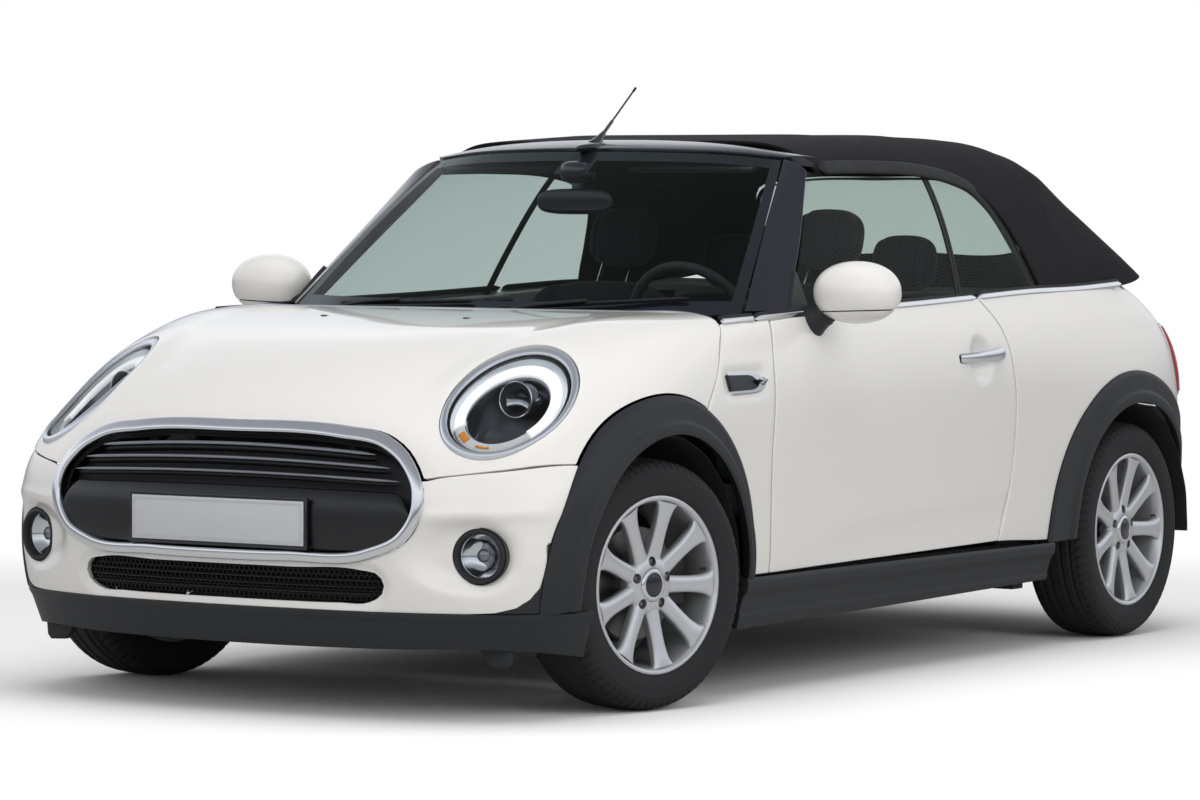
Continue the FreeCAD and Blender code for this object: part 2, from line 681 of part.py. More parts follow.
def lamp_tool(radius, low, high):
    """A prism square to the body where the lamp sits; it looks round from ahead."""
    points = []
    for part in steps(32):
        turn = 2 * math.pi * part
        spot = lamp_spot(radius * math.cos(turn), radius * math.sin(turn))
        points.append(spot - LAMP_NORMAL * ((spot - LAMP_CENTRE).dot(LAMP_NORMAL) - low))
    line = Part.BSplineCurve()
    line.interpolate(Points=points, PeriodicFlag=True)
    return Part.Face(Part.Wire([line.toShape()])).extrude(LAMP_NORMAL * (high - low))


lamp_reach = 2 * size.lamp_depth
LAMP_SINK = 42
STEM_RADIUS = 14
lamp_hole = lamp_tool(size.lamp_radius + size.lamp_ring + size.seat_gap, -lamp_reach, lamp_reach)
bonnet = bonnet.cut(BONNET_HOLE).cut(mirrored(BONNET_HOLE)).cut(lamp_hole).cut(mirrored(lamp_hole))
bumper_side = [(840, -1490, 262), (850, -1440, 400), (850, -1400, 590 - shut / 2)]
bumper_low = across_edge([(840, -1490, 262), (800, -1590, 262), (700, -1710, 262), (400, -1800, 262),
                          (0, -1840, 262)])
bumper = panel(bumper_low, front_shut_line(-shut / 2), bumper_side, [(-x, y, z) for x, y, z in bumper_side],
               size.panel, 41, 13)
SURROUND = [(0, 701), (300, 693), (430, 672), (500, 630), (548, 560), (552, 505), (510, 430), (420, 388),
            (200, 376), (0, 374)]
INTAKE = [(0, 350), (300, 349), (430, 343), (452, 318), (430, 292), (300, 284), (0, 282)]


def grown(points, distance, middle):
    """An outline moved out from its middle by a distance."""
    moved = []
    for x, z in points:
        reach = math.hypot(x, z - middle)
        moved.append((x * (1 + distance / reach), middle + (z - middle) * (1 + distance / reach)))
    return moved


SURROUND_MIDDLE = 540
INTAKE_MIDDLE = 316
FOG_CENTRE = Vector(668, -1729, 399)
FOG_AXIS = Vector(0.25, -0.97, 0)


def fog_tool(radius, low, high):
    return Part.makeCylinder(radius, high - low, FOG_CENTRE + FOG_AXIS * low, FOG_AXIS)


bonnet = bonnet.cut(nose_prism(grown(SURROUND, size.shut_gap, SURROUND_MIDDLE)))
feature("bonnet", bonnet)
bumper = bumper.cut(nose_prism(grown(SURROUND, size.seat_gap, SURROUND_MIDDLE)))
bumper = bumper.cut(nose_prism(grown(INTAKE, size.seat_gap, INTAKE_MIDDLE)))
fog_hole = fog_tool(size.fog_radius + 20, -100, 100)
bumper = bumper.cut(fog_hole).cut(mirrored(fog_hole)).cut(FRONT_HOLE).cut(mirrored(FRONT_HOLE))
bumper = largest(bumper.cut(bonnet).cut(bonnet.translated(Vector(0, 0, -MOVING_GAP))))
feature("front_bumper", bumper)

skirt_low = across_edge([(825, -1480, 150), (780, -1580, 165), (690, -1680, 175), (400, -1770, 172),
                         (0, -1800, 170)])
skirt_top = 262 - size.seat_gap
skirt_high = across_edge([(840, -1480, skirt_top), (800, -1590, skirt_top), (700, -1710, skirt_top),
                          (400, -1800, skirt_top), (0, -1840, skirt_top)])
skirt_side = [(825, -1480, 150), (840, -1480, skirt_top)]
skirt = panel(skirt_low, skirt_high, skirt_side, [(-x, y, z) for x, y, z in skirt_side], size.panel, 31, 5)
above_skirt = Part.makeBox(2400, 5000, 300, Vector(-1200, -2500, skirt_top))
front_skirt = largest(skirt.cut(FRONT_HOLE).cut(mirrored(FRONT_HOLE)).cut(above_skirt))


def nose_band(low, high, reach, stand, thickness):
    """A plain band over the nose, from which trim is cut."""
    low_edge = across_edge([(reach, -1700, low), (reach / 2, -1800, low), (0, -1850, low)])
    high_edge = across_edge([(reach, -1700, high), (reach / 2, -1800, high), (0, -1850, high)])
    side = [(reach, -1700, low), (reach, -1700, high)]
    return panel(low_edge, high_edge, side, [(-x, y, z) for x, y, z in side], thickness, 25, 13, stand=stand)


SURROUND_WIDTH = 26
band = nose_band(340, 735, 600, 7, 34.6)
ring_prism = nose_prism(SURROUND).cut(nose_prism(grown(SURROUND, -SURROUND_WIDTH, SURROUND_MIDDLE)))
beam_room = Part.makeBox(1600, 60, size.rail_height + 2 * size.seat_gap,
                         Vector(-800, -size.rail_front - 55, size.rail_bottom - size.seat_gap))
stop_room = both(rod((300, -size.rail_front - 25, size.rail_bottom), (300, -size.rail_front - 25, 900), 11.3))
feature("grille_surround", band.common(ring_prism).cut(beam_room).cut(stop_room))

deep_band = nose_band(340, 735, 600, -28, 16)
inner = nose_prism(grown(SURROUND, -1, SURROUND_MIDDLE))
grille_backs = [deep_band.common(inner), nose_band(255, 380, 520, -14, 16).common(nose_prism(INTAKE))]
grille_backs = [back.cut(beam_room).cut(stop_room).cut(bumper) for back in grille_backs]
feature("grilles", Part.makeCompound(grille_backs))
slat_band = nose_band(340, 735, 600, -4, 23)
inner_opening = nose_prism(grown(SURROUND, -SURROUND_WIDTH - 1, SURROUND_MIDDLE))
slats = []
for height in (645, 612, 579):
    slats.append(Part.makeBox(1200, 600, 13, Vector(-600, -size.front_end - 60, height)))
slats = [slat_band.common(inner_opening).common(slat) for slat in slats]
bar = Part.makeBox(1200, 600, 130, Vector(-600, -size.front_end - 60, 402))
bar = nose_band(340, 735, 600, -1, 26).common(inner_opening).common(bar)
feature("grille_bars", Part.makeCompound(slats + [bar]))

plate_face = -front_reach
plate_depth = size.plate_thickness + size.plate_seat - size.seat_gap
front_plate = Part.makeBox(size.plate_width, plate_depth + 1, size.plate_height,
                           Vector(-size.plate_width / 2, plate_face,
                                  size.plate_centre - size.plate_height / 2))

lamp_low = -size.lamp_depth - LAMP_SINK
lamp_stem = rod(tuple(LAMP_CENTRE + LAMP_NORMAL * (lamp_low + STEM_RADIUS)),
                (530, -size.rail_front - 25, 500), STEM_RADIUS)
headlamp = lamp_tool(size.lamp_radius - 6, lamp_low, -LAMP_SINK).fuse(lamp_stem).cut(beam_room)
feature("headlamps", both(max(headlamp.Solids, key=lambda piece: piece.Volume)))
lamp_band_low = [(800, -1300, 600), (650, -1700, 595), (470, -1770, 595)]
lamp_band_high = [(780, -1150, 905), (620, -1270, 915), (430, -1400, 905)]
lamp_band = panel(lamp_band_low, lamp_band_high, [lamp_band_low[0], lamp_band_high[0]],
                  [lamp_band_low[2], lamp_band_high[2]], 30, 13, 11, low_spine, 6)
ring = lamp_tool(size.lamp_radius + size.lamp_ring, -lamp_reach, lamp_reach)
ring = ring.cut(lamp_tool(size.lamp_radius, -lamp_reach - 1, lamp_reach + 1))
feature("headlamp_rings", both(lamp_band.common(ring)))

# The bonnet rests on two stops of the front beam
bonnet_stop = rod((300, -size.rail_front - 25, size.rail_bottom + size.rail_height - 5),
                  (300, -size.rail_front - 25, 900), 11)
bonnet_stop = bonnet_stop.cut(bonnet.translated(Vector(0, 0, -size.seat_gap)))
bonnet_stop = min(bonnet_stop.Solids, key=lambda piece: piece.CenterOfMass.z)
stops = document.addObject("Part::Feature", "bonnet_stops")
stops.Shape = both(bonnet_stop)
finish("front_rails", joined("front_rails_solid", rails + [stops]))
feature("fog_lamps", both(fog_tool(size.fog_radius + 19.5, -62, -12)))

# Side panels of the left side, mirrored to the right

scuttle_front = [(845, -900, size.sill_line), (850, -1000, 480)] + scuttle_line(shut / 2)
door_front_line = [(size.sill_line, 0), (441, -2), (606, 1), (741, 20), (862, 36), (936, 66)]


def offset_line(line, place, distance):
    """A line of the side view moved along its own normal, towards the rear for a distance over 0."""
    moved = []
    for index, (z, step) in enumerate(line):
        below, above = line[max(index - 1, 0)], line[min(index + 1, len(line) - 1)]
        rise, run = above[0] - below[0], above[1] - below[1]
        length = math.hypot(rise, run)
        moved.append((place + step + distance * rise / length, z - distance * run / length))
    return side_edge(moved)


def front_line(distance):
    return offset_line(door_front_line, -size.door_front, distance)


door_rear_line = [(318, -88), (461, -33), (543, -15), (652, 0), (772, -1), (846, -15), (919, -51),
                  (976, -110)]


def rear_line(distance):
    return offset_line(door_rear_line, size.door_rear, distance)


scuttle_back = front_line(-shut / 2)
scuttle = panel([scuttle_front[0], scuttle_back[0]], [scuttle_front[-1], scuttle_back[-1]], scuttle_front,
                scuttle_back, size.quarter_thickness, 9, 13)
HINGE_HEIGHTS = (size.hinge_low, size.hinge_high)
hinge_axis = Vector(size.hinge_half, -size.hinge_place, 0)
post_rear = -size.door_front - 6
post = Part.makeBox(72, 55, 560,
                    Vector(728, post_rear - 55, size.floor_bottom + size.sill_height + size.seat_gap))
root_outline = [(-745, 840), (-745, 905), (-560, 958), (-500, 935), (-520, 905), (-690, 840)]
root_place = 700 + size.seat_gap
root = Part.Face(Part.makePolygon([Vector(root_place, y, z) for y, z in root_outline + root_outline[:1]]))
root = root.extrude(Vector(31.7, 0, 0))


def hinge_arm(height):
    """The body's half of a door hinge: an eye on an arm that reaches round the door's front edge."""
    low = height - size.hinge_plate / 2
    start = hinge_axis.x - size.hinge_reach
    arm = Part.makeBox(size.hinge_reach, 12, size.hinge_plate, Vector(start, hinge_axis.y - 6, low))
    leg = Part.makeBox(16, hinge_axis.y + 6 - post_rear + 10, size.hinge_plate,
                       Vector(start, post_rear - 10, low))
    eye_shape = Part.makeCylinder(size.hinge_eye, size.hinge_plate, Vector(hinge_axis.x, hinge_axis.y, low))
    bore = Part.makeCylinder(size.hinge_pin + size.pin_fit, 40,
                             Vector(hinge_axis.x, hinge_axis.y, height - 20))
    return arm.fuse([leg, eye_shape]).cut(bore)


def hinge_slot(height):
    """The room in the door for the arm, from shut to wide open, with the pin left standing in it."""
    low = height - size.hinge_plate / 2 - 1
    depth = size.hinge_plate + 2
    corners = [(0, 8), (-120, 8), (-120, -130), (-42, -124), (7, -3)]
    corners = [Vector(hinge_axis.x + x, hinge_axis.y + y, low) for x, y in corners]
    sector = Part.Face(Part.makePolygon(corners + corners[:1])).extrude(Vector(0, 0, depth))
    room = Part.makeCylinder(size.hinge_eye + 0.6, depth, Vector(hinge_axis.x, hinge_axis.y, low))
    pin = Part.makeCylinder(size.hinge_pin, depth, Vector(hinge_axis.x, hinge_axis.y, low))
    return sector.fuse(room).cut(pin)


scuttle = scuttle.cut(FRONT_HOLE).cut(bonnet).cut(bonnet.translated(Vector(0, 0, -MOVING_GAP)))
scuttle = largest(scuttle.cut(bonnet.translated(Vector(0, MOVING_GAP, 0))))

door_front_edge = front_line(shut / 2 + 0.8)
door_rear_edge = rear_line(-shut / 2)
door_top = [door_front_edge[-1], (790, -355, 947), (787, 76, 960), door_rear_edge[-1]]
door_skin = panel([door_front_edge[0], door_rear_edge[0]], door_top, door_front_edge, door_rear_edge,
                  size.door_thickness, 17, 13)
door = door_skin
for height in HINGE_HEIGHTS:
    door = door.cut(hinge_slot(height))
door = max(door.Solids, key=lambda piece: piece.Volume)
feature("door_left", door)
feature("door_right", mirrored(door))

quarter_front = rear_line(shut / 2)
quarter_low = [quarter_front[0], (846, 960, 312), (846, 1331, 400), (800, 1640, 640), (700, 1800, 648),
               (568, 1880, 650)]
quarter_high = [quarter_front[-1], (775, 800, 990), (770, 1100, 996), (755, 1300, 1004), (700, 1480, 1004),
                (568, 1640, 985)]
quarter_back = [(568, 1880, 650), (568, 1870, 760), (568, 1810, 880), (568, 1640, 985)]
quarter = panel(quarter_low, quarter_high, quarter_front, quarter_back, size.quarter_thickness, 25, 13)
tail_low = across_edge([(563, 1880, 650), (300, 1910, 650), (0, 1930, 650)])
tail_high = across_edge([(563, 1643, 984), (300, 1665, 985), (0, 1672, 985)])
tail_side = [(563, 1880, 650), (563, 1870, 760), (563, 1812, 880), (563, 1643, 984)]
tail_skin = panel(tail_low, tail_high, tail_side, [(-x, y, z) for x, y, z in tail_side], 40, 21, 13)
quarter = largest(quarter.cut(REAR_HOLE).cut(tail_skin).cut(tail_skin.translated(Vector(MOVING_GAP, 0, 0))))
feature("rear_quarters", both(quarter))
TAIL_HINGE = (size.rear_end + 1, 640)
KNUCKLE = 4.5


def tail_knuckle(start, length):
    return Part.makeCylinder(KNUCKLE, length, Vector(start, *TAIL_HINGE), Vector(1, 0, 0))


tail_leaf = Part.makeBox(20, 5, 17, Vector(100, TAIL_HINGE[0] - 2.4, TAIL_HINGE[1]))
tail_web = Part.makeBox(20, 12, 6, Vector(100, TAIL_HINGE[0] - 10, TAIL_HINGE[1] + 11))
tail_leaf = tail_leaf.fuse([tail_web, tail_knuckle(100, 20)])
feature("tailgate", tail_skin.fuse([tail_leaf, mirrored(tail_leaf)]))
bumper_leaf = Part.makeBox(20 - size.seat_gap, 21, 6, Vector(80, TAIL_HINGE[0] - 21, TAIL_HINGE[1] - 4))
bumper_leaf = bumper_leaf.fuse(tail_knuckle(80, 20 - size.seat_gap))

rear_side = [(835, 1650, 262), (835, 1690, 450), (800, 1650, 634)]
rear_low = across_edge([(835, 1650, 262), (700, 1800, 262), (400, 1880, 262), (0, 1905, 262)])
rear_high = across_edge([(800, 1650, 634), (700, 1800, 642), (568, 1880, 644), (300, 1910, 644),
                         (0, 1930, 644)])
rear = panel(rear_low, rear_high, rear_side, [(-x, y, z) for x, y, z in rear_side], 40, 31, 9)
leaf_room = Part.makeBox(24, 40, 34, Vector(98, TAIL_HINGE[0] - 16, TAIL_HINGE[1] - 8))
boot_room = Part.makeBox(1120 + 2 * size.seat_gap, 400, 20 + 2 * size.seat_gap,
                         Vector(-560 - size.seat_gap, size.boot_end + size.seat_gap - 400,
                                size.boot_floor - size.seat_gap))
rear = rear.cut(REAR_HOLE).cut(mirrored(REAR_HOLE)).cut(leaf_room).cut(mirrored(leaf_room)).cut(boot_room)
for neighbour in (quarter, mirrored(quarter), quarter.translated(SEAT), mirrored(quarter).translated(SEAT),
                  tail_skin, tail_skin.translated(Vector(0, 0, -MOVING_GAP))):
    rear = rear.cut(neighbour)
rear_bumper = largest(rear).fuse([bumper_leaf, mirrored(bumper_leaf)])
feature("rear_bumper", rear_bumper)

# Black claddings round the arches and along the sills

def cladding(place, table, start, end):
    """A band round an arch, from the opening's edge out to a rounded outline."""
    inner_edge, outer_edge = [], []
    for part in steps(12) + [1]:
        angle = start + (end - start) * part
        turn = math.radians(angle)
        for edge, reach in ((inner_edge, size.arch_radius), (outer_edge, smooth(table, angle))):
            edge.append((850, place + reach * math.cos(turn), size.arch_height + reach * math.sin(turn)))
    return panel(inner_edge, outer_edge, [inner_edge[0], outer_edge[0]], [inner_edge[-1], outer_edge[-1]],
                 size.cladding_stand + 20, 25, 4, stand=size.cladding_stand)


arch_trims = [cladding(-size.front_axle, FRONT_CLADDING, -1, 186),
              cladding(rear_axle, REAR_CLADDING, -6, 181)]
sill_low = side_edge([(-806, 172), (0, 182), (840, 196)])
sill_high = side_edge([(-806, 300.6), (0, 300), (840, 298)])
sill_trim = panel(sill_low, sill_high, [sill_low[0], sill_high[0]], [sill_low[-1], sill_high[-1]], 24, 13, 5,
                  stand=size.cladding_stand)
feature("claddings", Part.makeCompound([both(trim) for trim in arch_trims + [sill_trim]]))

# Glass and roof

CABIN_INSET = [(940, 58), (1050, 98), (1150, 140), (1250, 186), (1330, 224), (1420, 270)]
ROOF_LINE = [(-300, -70), (-200, -42), (-100, -26), (100, -10), (400, -1), (700, 0), (950, -5), (1100, -22),
             (1200, -52), (1300, -104), (1400, -172), (1500, -254), (1600, -342), (1680, -410), (1760, -480)]
ROOF_BASE = 960


def cabin(x, y, z):
    """The glass and roof surface above the waist."""
    across = abs(x) / (size.half_width - smooth(CABIN_INSET, z))
    top = size.roof_height + smooth(ROOF_LINE, y)
    up = max(0.0, (z - 600) / max(top - 600, 10))
    return across ** 9 + up ** 9


def roof_spine(point):
    return (0.3 * point[0], min(max(point[1], -200), 1100), 760)


def glass_panel(low, high, left, right, thickness, columns=9, rows=7, stand=0.0):
    return panel(low, high, left, right, thickness, columns, rows, spine, stand, cabin)


def cabin_edge(points):
    return [(size.half_width - smooth(CABIN_INSET, z), y, z) for y, z in points]


pillar_rear = cabin_edge([(-515, 928), (-450, 1000), (-306, 1136), (-180, 1270), (-135, 1316)])
b_line = [(413, 945), (470, 1130), (515, 1306)]
door_pane_front = [(x, y + 8, z) for x, y, z in pillar_rear]
door_pane_rear = cabin_edge([(y - 3, z) for y, z in b_line])
door_pane = glass_panel([door_pane_front[0], door_pane_rear[0]], [door_pane_front[-1], door_pane_rear[-1]],
                        door_pane_front, door_pane_rear, size.pane, stand=-6)
door_pane = door_pane.cut(door_skin.translated(Vector(0, 0, size.seat_gap)))
quarter_pane_front = cabin_edge([(y + 3, z) for y, z in b_line])
quarter_pane_rear = cabin_edge([(905, 976), (850, 1122), (795, 1229), (730, 1284)])
quarter_pane = glass_panel([quarter_pane_front[0], quarter_pane_rear[0]],
                           [quarter_pane_front[-1], quarter_pane_rear[-1]],
                           quarter_pane_front, quarter_pane_rear, size.pane, stand=-6)
quarter_pane = quarter_pane.cut(quarter.translated(Vector(0, 0, size.seat_gap)))
quarter_pane = quarter_pane.cut(quarter).cut(door_skin.translated(Vector(0, 0, shut)))

SCREEN_LOW = [(700, -600, 948), (500, -690, 944), (250, -745, 940), (0, -765, 938)]
SCREEN_HIGH = [(545, -140, 1346), (400, -190, 1360), (200, -232, 1367), (0, -246, 1369)]


def free_panel(low, high, thickness, columns, rows, bulge_out=0.0, inside=(0, 300, 900), stand=0.0):
    """A panel between two edges that doesn't follow a body surface, crowned outwards by a little."""
    low_line, high_line = curve(low), curve(high)
    grid = []
    for i in range(columns):
        u = i / (columns - 1)
        line = []
        for j in range(rows):
            v = j / (rows - 1)
            a, b = low_line(u), high_line(u)
            swell = bulge_out * 4 * v * (1 - v)
            point = [(1 - v) * a[k] + v * b[k] for k in range(3)]
            run = [point[k] - inside[k] for k in range(3)]
            length = math.sqrt(sum(step * step for step in run))
            line.append(tuple(point[k] + run[k] / length * swell for k in range(3)))
        grid.append(line)
    return shell_solid(grid, stand, stand - thickness, lambda point: inside)


screen = free_panel(across_edge(SCREEN_LOW), across_edge(SCREEN_HIGH), size.pane, 25, 9, 14)
feature("windscreen", screen)

pillar_front = [(705, -585, 958), (628, -372, 1150), (549, -137, 1347)]
pillar_back = [(774, -490, 958), (704, -312, 1136), (624, -146, 1316)]
pillar = free_panel(pillar_front, pillar_back, 42, 9, 4, 6, (0, -200, 1000))
root = root.cut(pillar.translated(Vector(0, 0, -size.seat_gap))).cut(pillar.translated(Vector(0, 4, 4)))
root = max(root.Solids, key=lambda piece: piece.Volume)
feature("scuttles", both(scuttle.fuse([post, root] + [hinge_arm(height) for height in HINGE_HEIGHTS])))
header_front = across_edge([(549, -128, 1352), (400, -183, 1366), (200, -224, 1373), (0, -239, 1375)])
header_back = across_edge([(600, -60, 1352), (400, -92, 1384), (200, -112, 1396), (0, -120, 1399)])
header = free_panel(header_front, header_back, 30, 21, 4, 4, (0, 0, 900))
feature("windscreen_frame", Part.makeCompound([both(pillar), header]))
cowl_front = across_edge([(700, -784, 925), (400, -828, 935), (0, -840, 938)])
cowl_back = across_edge([(700, -612, 925), (400, -722, 925), (0, -775, 925)])
feature("cowl", free_panel(cowl_front, cowl_back, 14, 21, 4, 0, (0, -700, 500)))

roof_front = across_edge([(622, -52, 1334), (600, -54, 1354), (400, -86, 1386), (200, -106, 1399),
                          (0, -114, 1402)])
roof_side = [(622, -52, 1334), (621, 198, 1338), (621, 518, 1328), (628, 640, 1312), (640, 736, 1284),
             (668, 804, 1232), (718, 861, 1124), (754, 888, 1036), (780, 908, 978)]
roof_back = across_edge([(780, 908, 978), (772, 1150, 984), (756, 1330, 990), (690, 1500, 992),
                         (580, 1590, 998), (540, 1606, 1004), (300, 1650, 1004), (0, 1665, 1002)])
roof = panel(roof_front, roof_back, roof_side, [(-x, y, z) for x, y, z in roof_side], size.fabric, 41, 25,
             roof_spine, 0.0, cabin)
rear_pane_outline = [(0, 1310), (300, 1300), (430, 1270), (470, 1200), (460, 1130), (380, 1100), (0, 1090)]


def rear_prism(points):
    return outline_face(points, 1000).extrude(Vector(0, 900, 0))


raised_quarter = quarter.translated(Vector(0, 0, size.seat_gap))
roof = roof.cut(raised_quarter).cut(mirrored(raised_quarter)).cut(rear_prism(rear_pane_outline))
roof = largest(roof)
feature("soft_top", roof)
for neighbour in (pillar, pillar.translated(Vector(0, MOVING_GAP, 0)), header,
                  header.translated(Vector(0, 0, -MOVING_GAP)), roof,
                  roof.translated(Vector(0, 0, -MOVING_GAP))):
    door_pane = door_pane.cut(neighbour)
door_pane = largest(door_pane)
feature("door_glass_left", door_pane)
feature("door_glass_right", mirrored(door_pane))
quarter_pane = largest(quarter_pane.cut(roof).cut(roof.translated(SEAT)))
feature("quarter_glass", both(quarter_pane))
pane_low = across_edge([(520, 1440, 1060), (0, 1520, 1060)])
pane_high = across_edge([(500, 1180, 1340), (0, 1200, 1340)])
pane_band = panel(pane_low, pane_high, [pane_low[0], pane_high[0]], [pane_low[-1], pane_high[-1]], size.pane,
                  13, 9, roof_spine, -8, cabin)
feature("rear_window", pane_band.common(rear_prism(grown(rear_pane_outline, -0.3, 1200))))

# Mirrors, rear lamps and plates


def mirror_unit():
    """The mirror's head and foot."""
    head = Part.makeSphere(1)
    matrix = FreeCAD.Matrix()
    matrix.scale(118, 84, 76)
    head = head.transformGeometry(matrix)
    head.translate(Vector(925, -400, 1005))
    foot = rod((790, -400, 930), (880, -400, 985), 22)
    whole = head.fuse(foot).cut(door_skin.translated(Vector(size.seat_gap, 0, size.seat_gap)))
    return largest(whole.cut(door_pane.translated(Vector(size.seat_gap, 0, 0))))


feature("mirror_left", mirror_unit())
feature("mirror_right", mirrored(mirror_unit()))
tail_lamp = panel([(800, 1600, 690), (660, 1810, 690)], [(790, 1560, 880), (660, 1740, 880)],
                  [(800, 1600, 690), (790, 1560, 880)], [(660, 1810, 690), (660, 1740, 880)], 10, 9, 7,
                  stand=10.4)
feature("tail_lamps", both(tail_lamp))
rear_plate = Part.makeBox(size.plate_width, plate_depth, size.plate_height,
                          Vector(-size.plate_width / 2, rear_reach - plate_depth,
                                 size.rear_plate_centre - size.plate_height / 2))
feature("number_plates", Part.makeCompound([front_plate, rear_plate]))
rear_skirt_low = across_edge([(800, 1690, 180), (600, 1790, 200), (0, 1850, 205)])
rear_skirt_high = across_edge([(830, 1660, skirt_top), (600, 1840, skirt_top), (0, 1900, skirt_top)])
rear_skirt = panel(rear_skirt_low, rear_skirt_high, [rear_skirt_low[0], rear_skirt_high[0]],
                   [rear_skirt_low[-1], rear_skirt_high[-1]], 30, 25, 4)
rear_skirt = largest(rear_skirt.cut(REAR_HOLE).cut(mirrored(REAR_HOLE)).cut(above_skirt))
feature("lower_skirts", Part.makeCompound([front_skirt, rear_skirt]))

antenna_base = Vector(0, -194, 1380)
lean = math.radians(size.antenna_lean)
antenna_tip = antenna_base + Vector(0, math.sin(lean), math.cos(lean)) * size.antenna_length
antenna_foot = rod(antenna_base, antenna_base + Vector(0, 6, 12), 14)
antenna = rod(antenna_base, antenna_tip, size.antenna_radius).fuse(antenna_foot)
antenna = antenna.cut(header.translated(Vector(0, 0, size.seat_gap)))
feature("antenna", max(antenna.Solids, key=lambda piece: piece.Volume))

# Inside

def seat(label):
    """Cushion, back and headrest about the middle of the seat's front edge on the floor."""
    cushion = solid("Part::Box", label + "_cushion", ("0 - seat_width / 2", "0 - seat_length",
                                                      "seat_height - seat_cushion"),
                    Length="seat_width", Width="seat_length", Height="seat_cushion")
    base = solid("Part::Box", label + "_base", ("0 - seat_width / 2 + 50", "0 - seat_length + 60",
                                                "floor_bottom + floor_thickness + seat_gap"),
                 Length="seat_width - 100", Width="seat_length - 120",
                 Height="seat_height - seat_cushion - floor_bottom - floor_thickness - seat_gap")
    back = document.addObject("Part::Box", label + "_back")
    bind(back, Length="seat_width", Width="back_thickness", Height="back_height")
    turn = Rotation(Vector(1, 0, 0), -size.back_lean)
    spot = Vector(-size.seat_width / 2, -50, size.seat_height - 40)
    back.Placement = Placement(spot, turn)
    return joined(label + "_joined", [cushion, base, back])


def headrest(label):
    lean_turn = Rotation(Vector(1, 0, 0), -size.back_lean)
    rest = document.addObject("Part::Box", label + "_pad")
    bind(rest, Length="head_width", Width="head_thickness", Height="head_height")
    top = Vector(-size.seat_width / 2, -50, size.seat_height - 40)
    rest.Placement = Placement(top + lean_turn.multVec(Vector((size.seat_width - size.head_width) / 2, 15,
                                                              size.back_height + size.head_gap)), lean_turn)
    pieces = [rest]
    for across in (-55, 55):
        post = document.addObject("Part::Cylinder", label + "_post")
        bind(post, Radius="post_radius", Height="head_gap + 30")
        post.Placement = Placement(top + lean_turn.multVec(Vector(size.seat_width / 2 + across, 60,
                                                                  size.back_height - 10)), lean_turn)
        pieces.append(post)
    return joined(label + "_joined", pieces)


for side, name in ((1, "left"), (-1, "right")):
    spot = (side * size.seat_half, size.seat_place + 100, 0)
    pieces = [seat("seat_%s_solid" % name), headrest("headrest_%s_solid" % name)]
    finish("seat_" + name, joined("seat_whole_" + name, pieces), None, spot)
rear_seat = [box("rear_cushion", ("0 - rear_seat_half", "rear_seat_front",
                                  "floor_bottom + floor_thickness + seat_gap"),
                 ("rear_seat_half", "floor_rear - 20 - seat_gap", "seat_height + 50")),
             box("rear_back", ("0 - rear_seat_half", "floor_rear + 5", "boot_floor + 20 + seat_gap"),
                 ("rear_seat_half", "floor_rear + 115", "930"))]
finish("rear_seat", joined("rear_seat_solid", rear_seat))

wheel_turn = Rotation(Vector(1, 0, 0), size.column_lean - 90)
hub_place = Vector(size.seat_half, -size.column_place, size.column_height)


def steering_wheel():
    rim = document.addObject("Part::Torus", "steering_rim")
    bind(rim, Radius1="steering_radius", Radius2="steering_section")
    boss = document.addObject("Part::Cylinder", "steering_boss")
    bind(boss, Radius="62", Height="50")
    boss.Placement = Placement(Vector(0, 0, -25), Rotation())
    things = [rim, boss]
    for angle in (0, 180, 270):
        spoke = document.addObject("Part::Box", "steering_spoke")
        bind(spoke, Length="steering_radius", Width="34", Height="14")
        turn = Rotation(Vector(0, 0, 1), angle)
        spoke.Placement = Placement(turn.multVec(Vector(0, -17, -7)), turn)
        things.append(spoke)
    return joined("steering_wheel_solid", things)


finish("steering_wheel", steering_wheel(), wheel_turn, hub_place)
column = document.addObject("Part::Cylinder", "steering_column_solid")
bind(column, Radius="column_radius", Height="column_length")
column.Placement = Placement(Vector(0, 0, -25.5 - size.column_length), Rotation())
column_unit = document.addObject("Part::Compound", "steering_column")
column_unit.Links = [column]
column_unit.Placement = Placement(hub_place, wheel_turn)
board = box("dashboard_solid", ("-700", "-640", "700"), ("700", "-390", "900"))
finish("dashboard", joined("dashboard_whole", [board, column_unit]))
inner_mirror = Part.makeBox(236, 26, 66, Vector(-118, -309, 1200))
inner_mirror = inner_mirror.fuse(Part.makeBox(60, 80, 95, Vector(-30, -330, 1255)))
screen_room = screen.translated(Vector(0, 0.6 * size.seat_gap, -0.8 * size.seat_gap))
inner_mirror = inner_mirror.cut(screen_room).cut(header.translated(Vector(0, 0, -size.seat_gap)))
feature("inner_mirror", min(inner_mirror.Solids, key=lambda piece: piece.CenterOfMass.z))

# Every object and shape is tested before anything is written

document.recompute()
for thing in document.Objects:
    if "Invalid" in thing.State or "Error" in thing.State:
        raise RuntimeError("failed: " + thing.Label + " " + str(thing.State))
for thing in subparts:
    if thing.Shape.isNull() or not thing.Shape.isValid() or not thing.Shape.Solids:
        raise RuntimeError("no valid shape: " + thing.Label)

os.makedirs("parts", exist_ok=True)
for thing in subparts:
    thing.Shape.exportStep("parts/" + thing.Label + ".step")
print(len(subparts), "sub-parts, frame shift", frame_shift)
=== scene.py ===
import json
import math

import bmesh
import bpy
import numpy as np
from bpy.props import FloatProperty, FloatVectorProperty, IntProperty, PointerProperty
from mathutils import Matrix, Vector


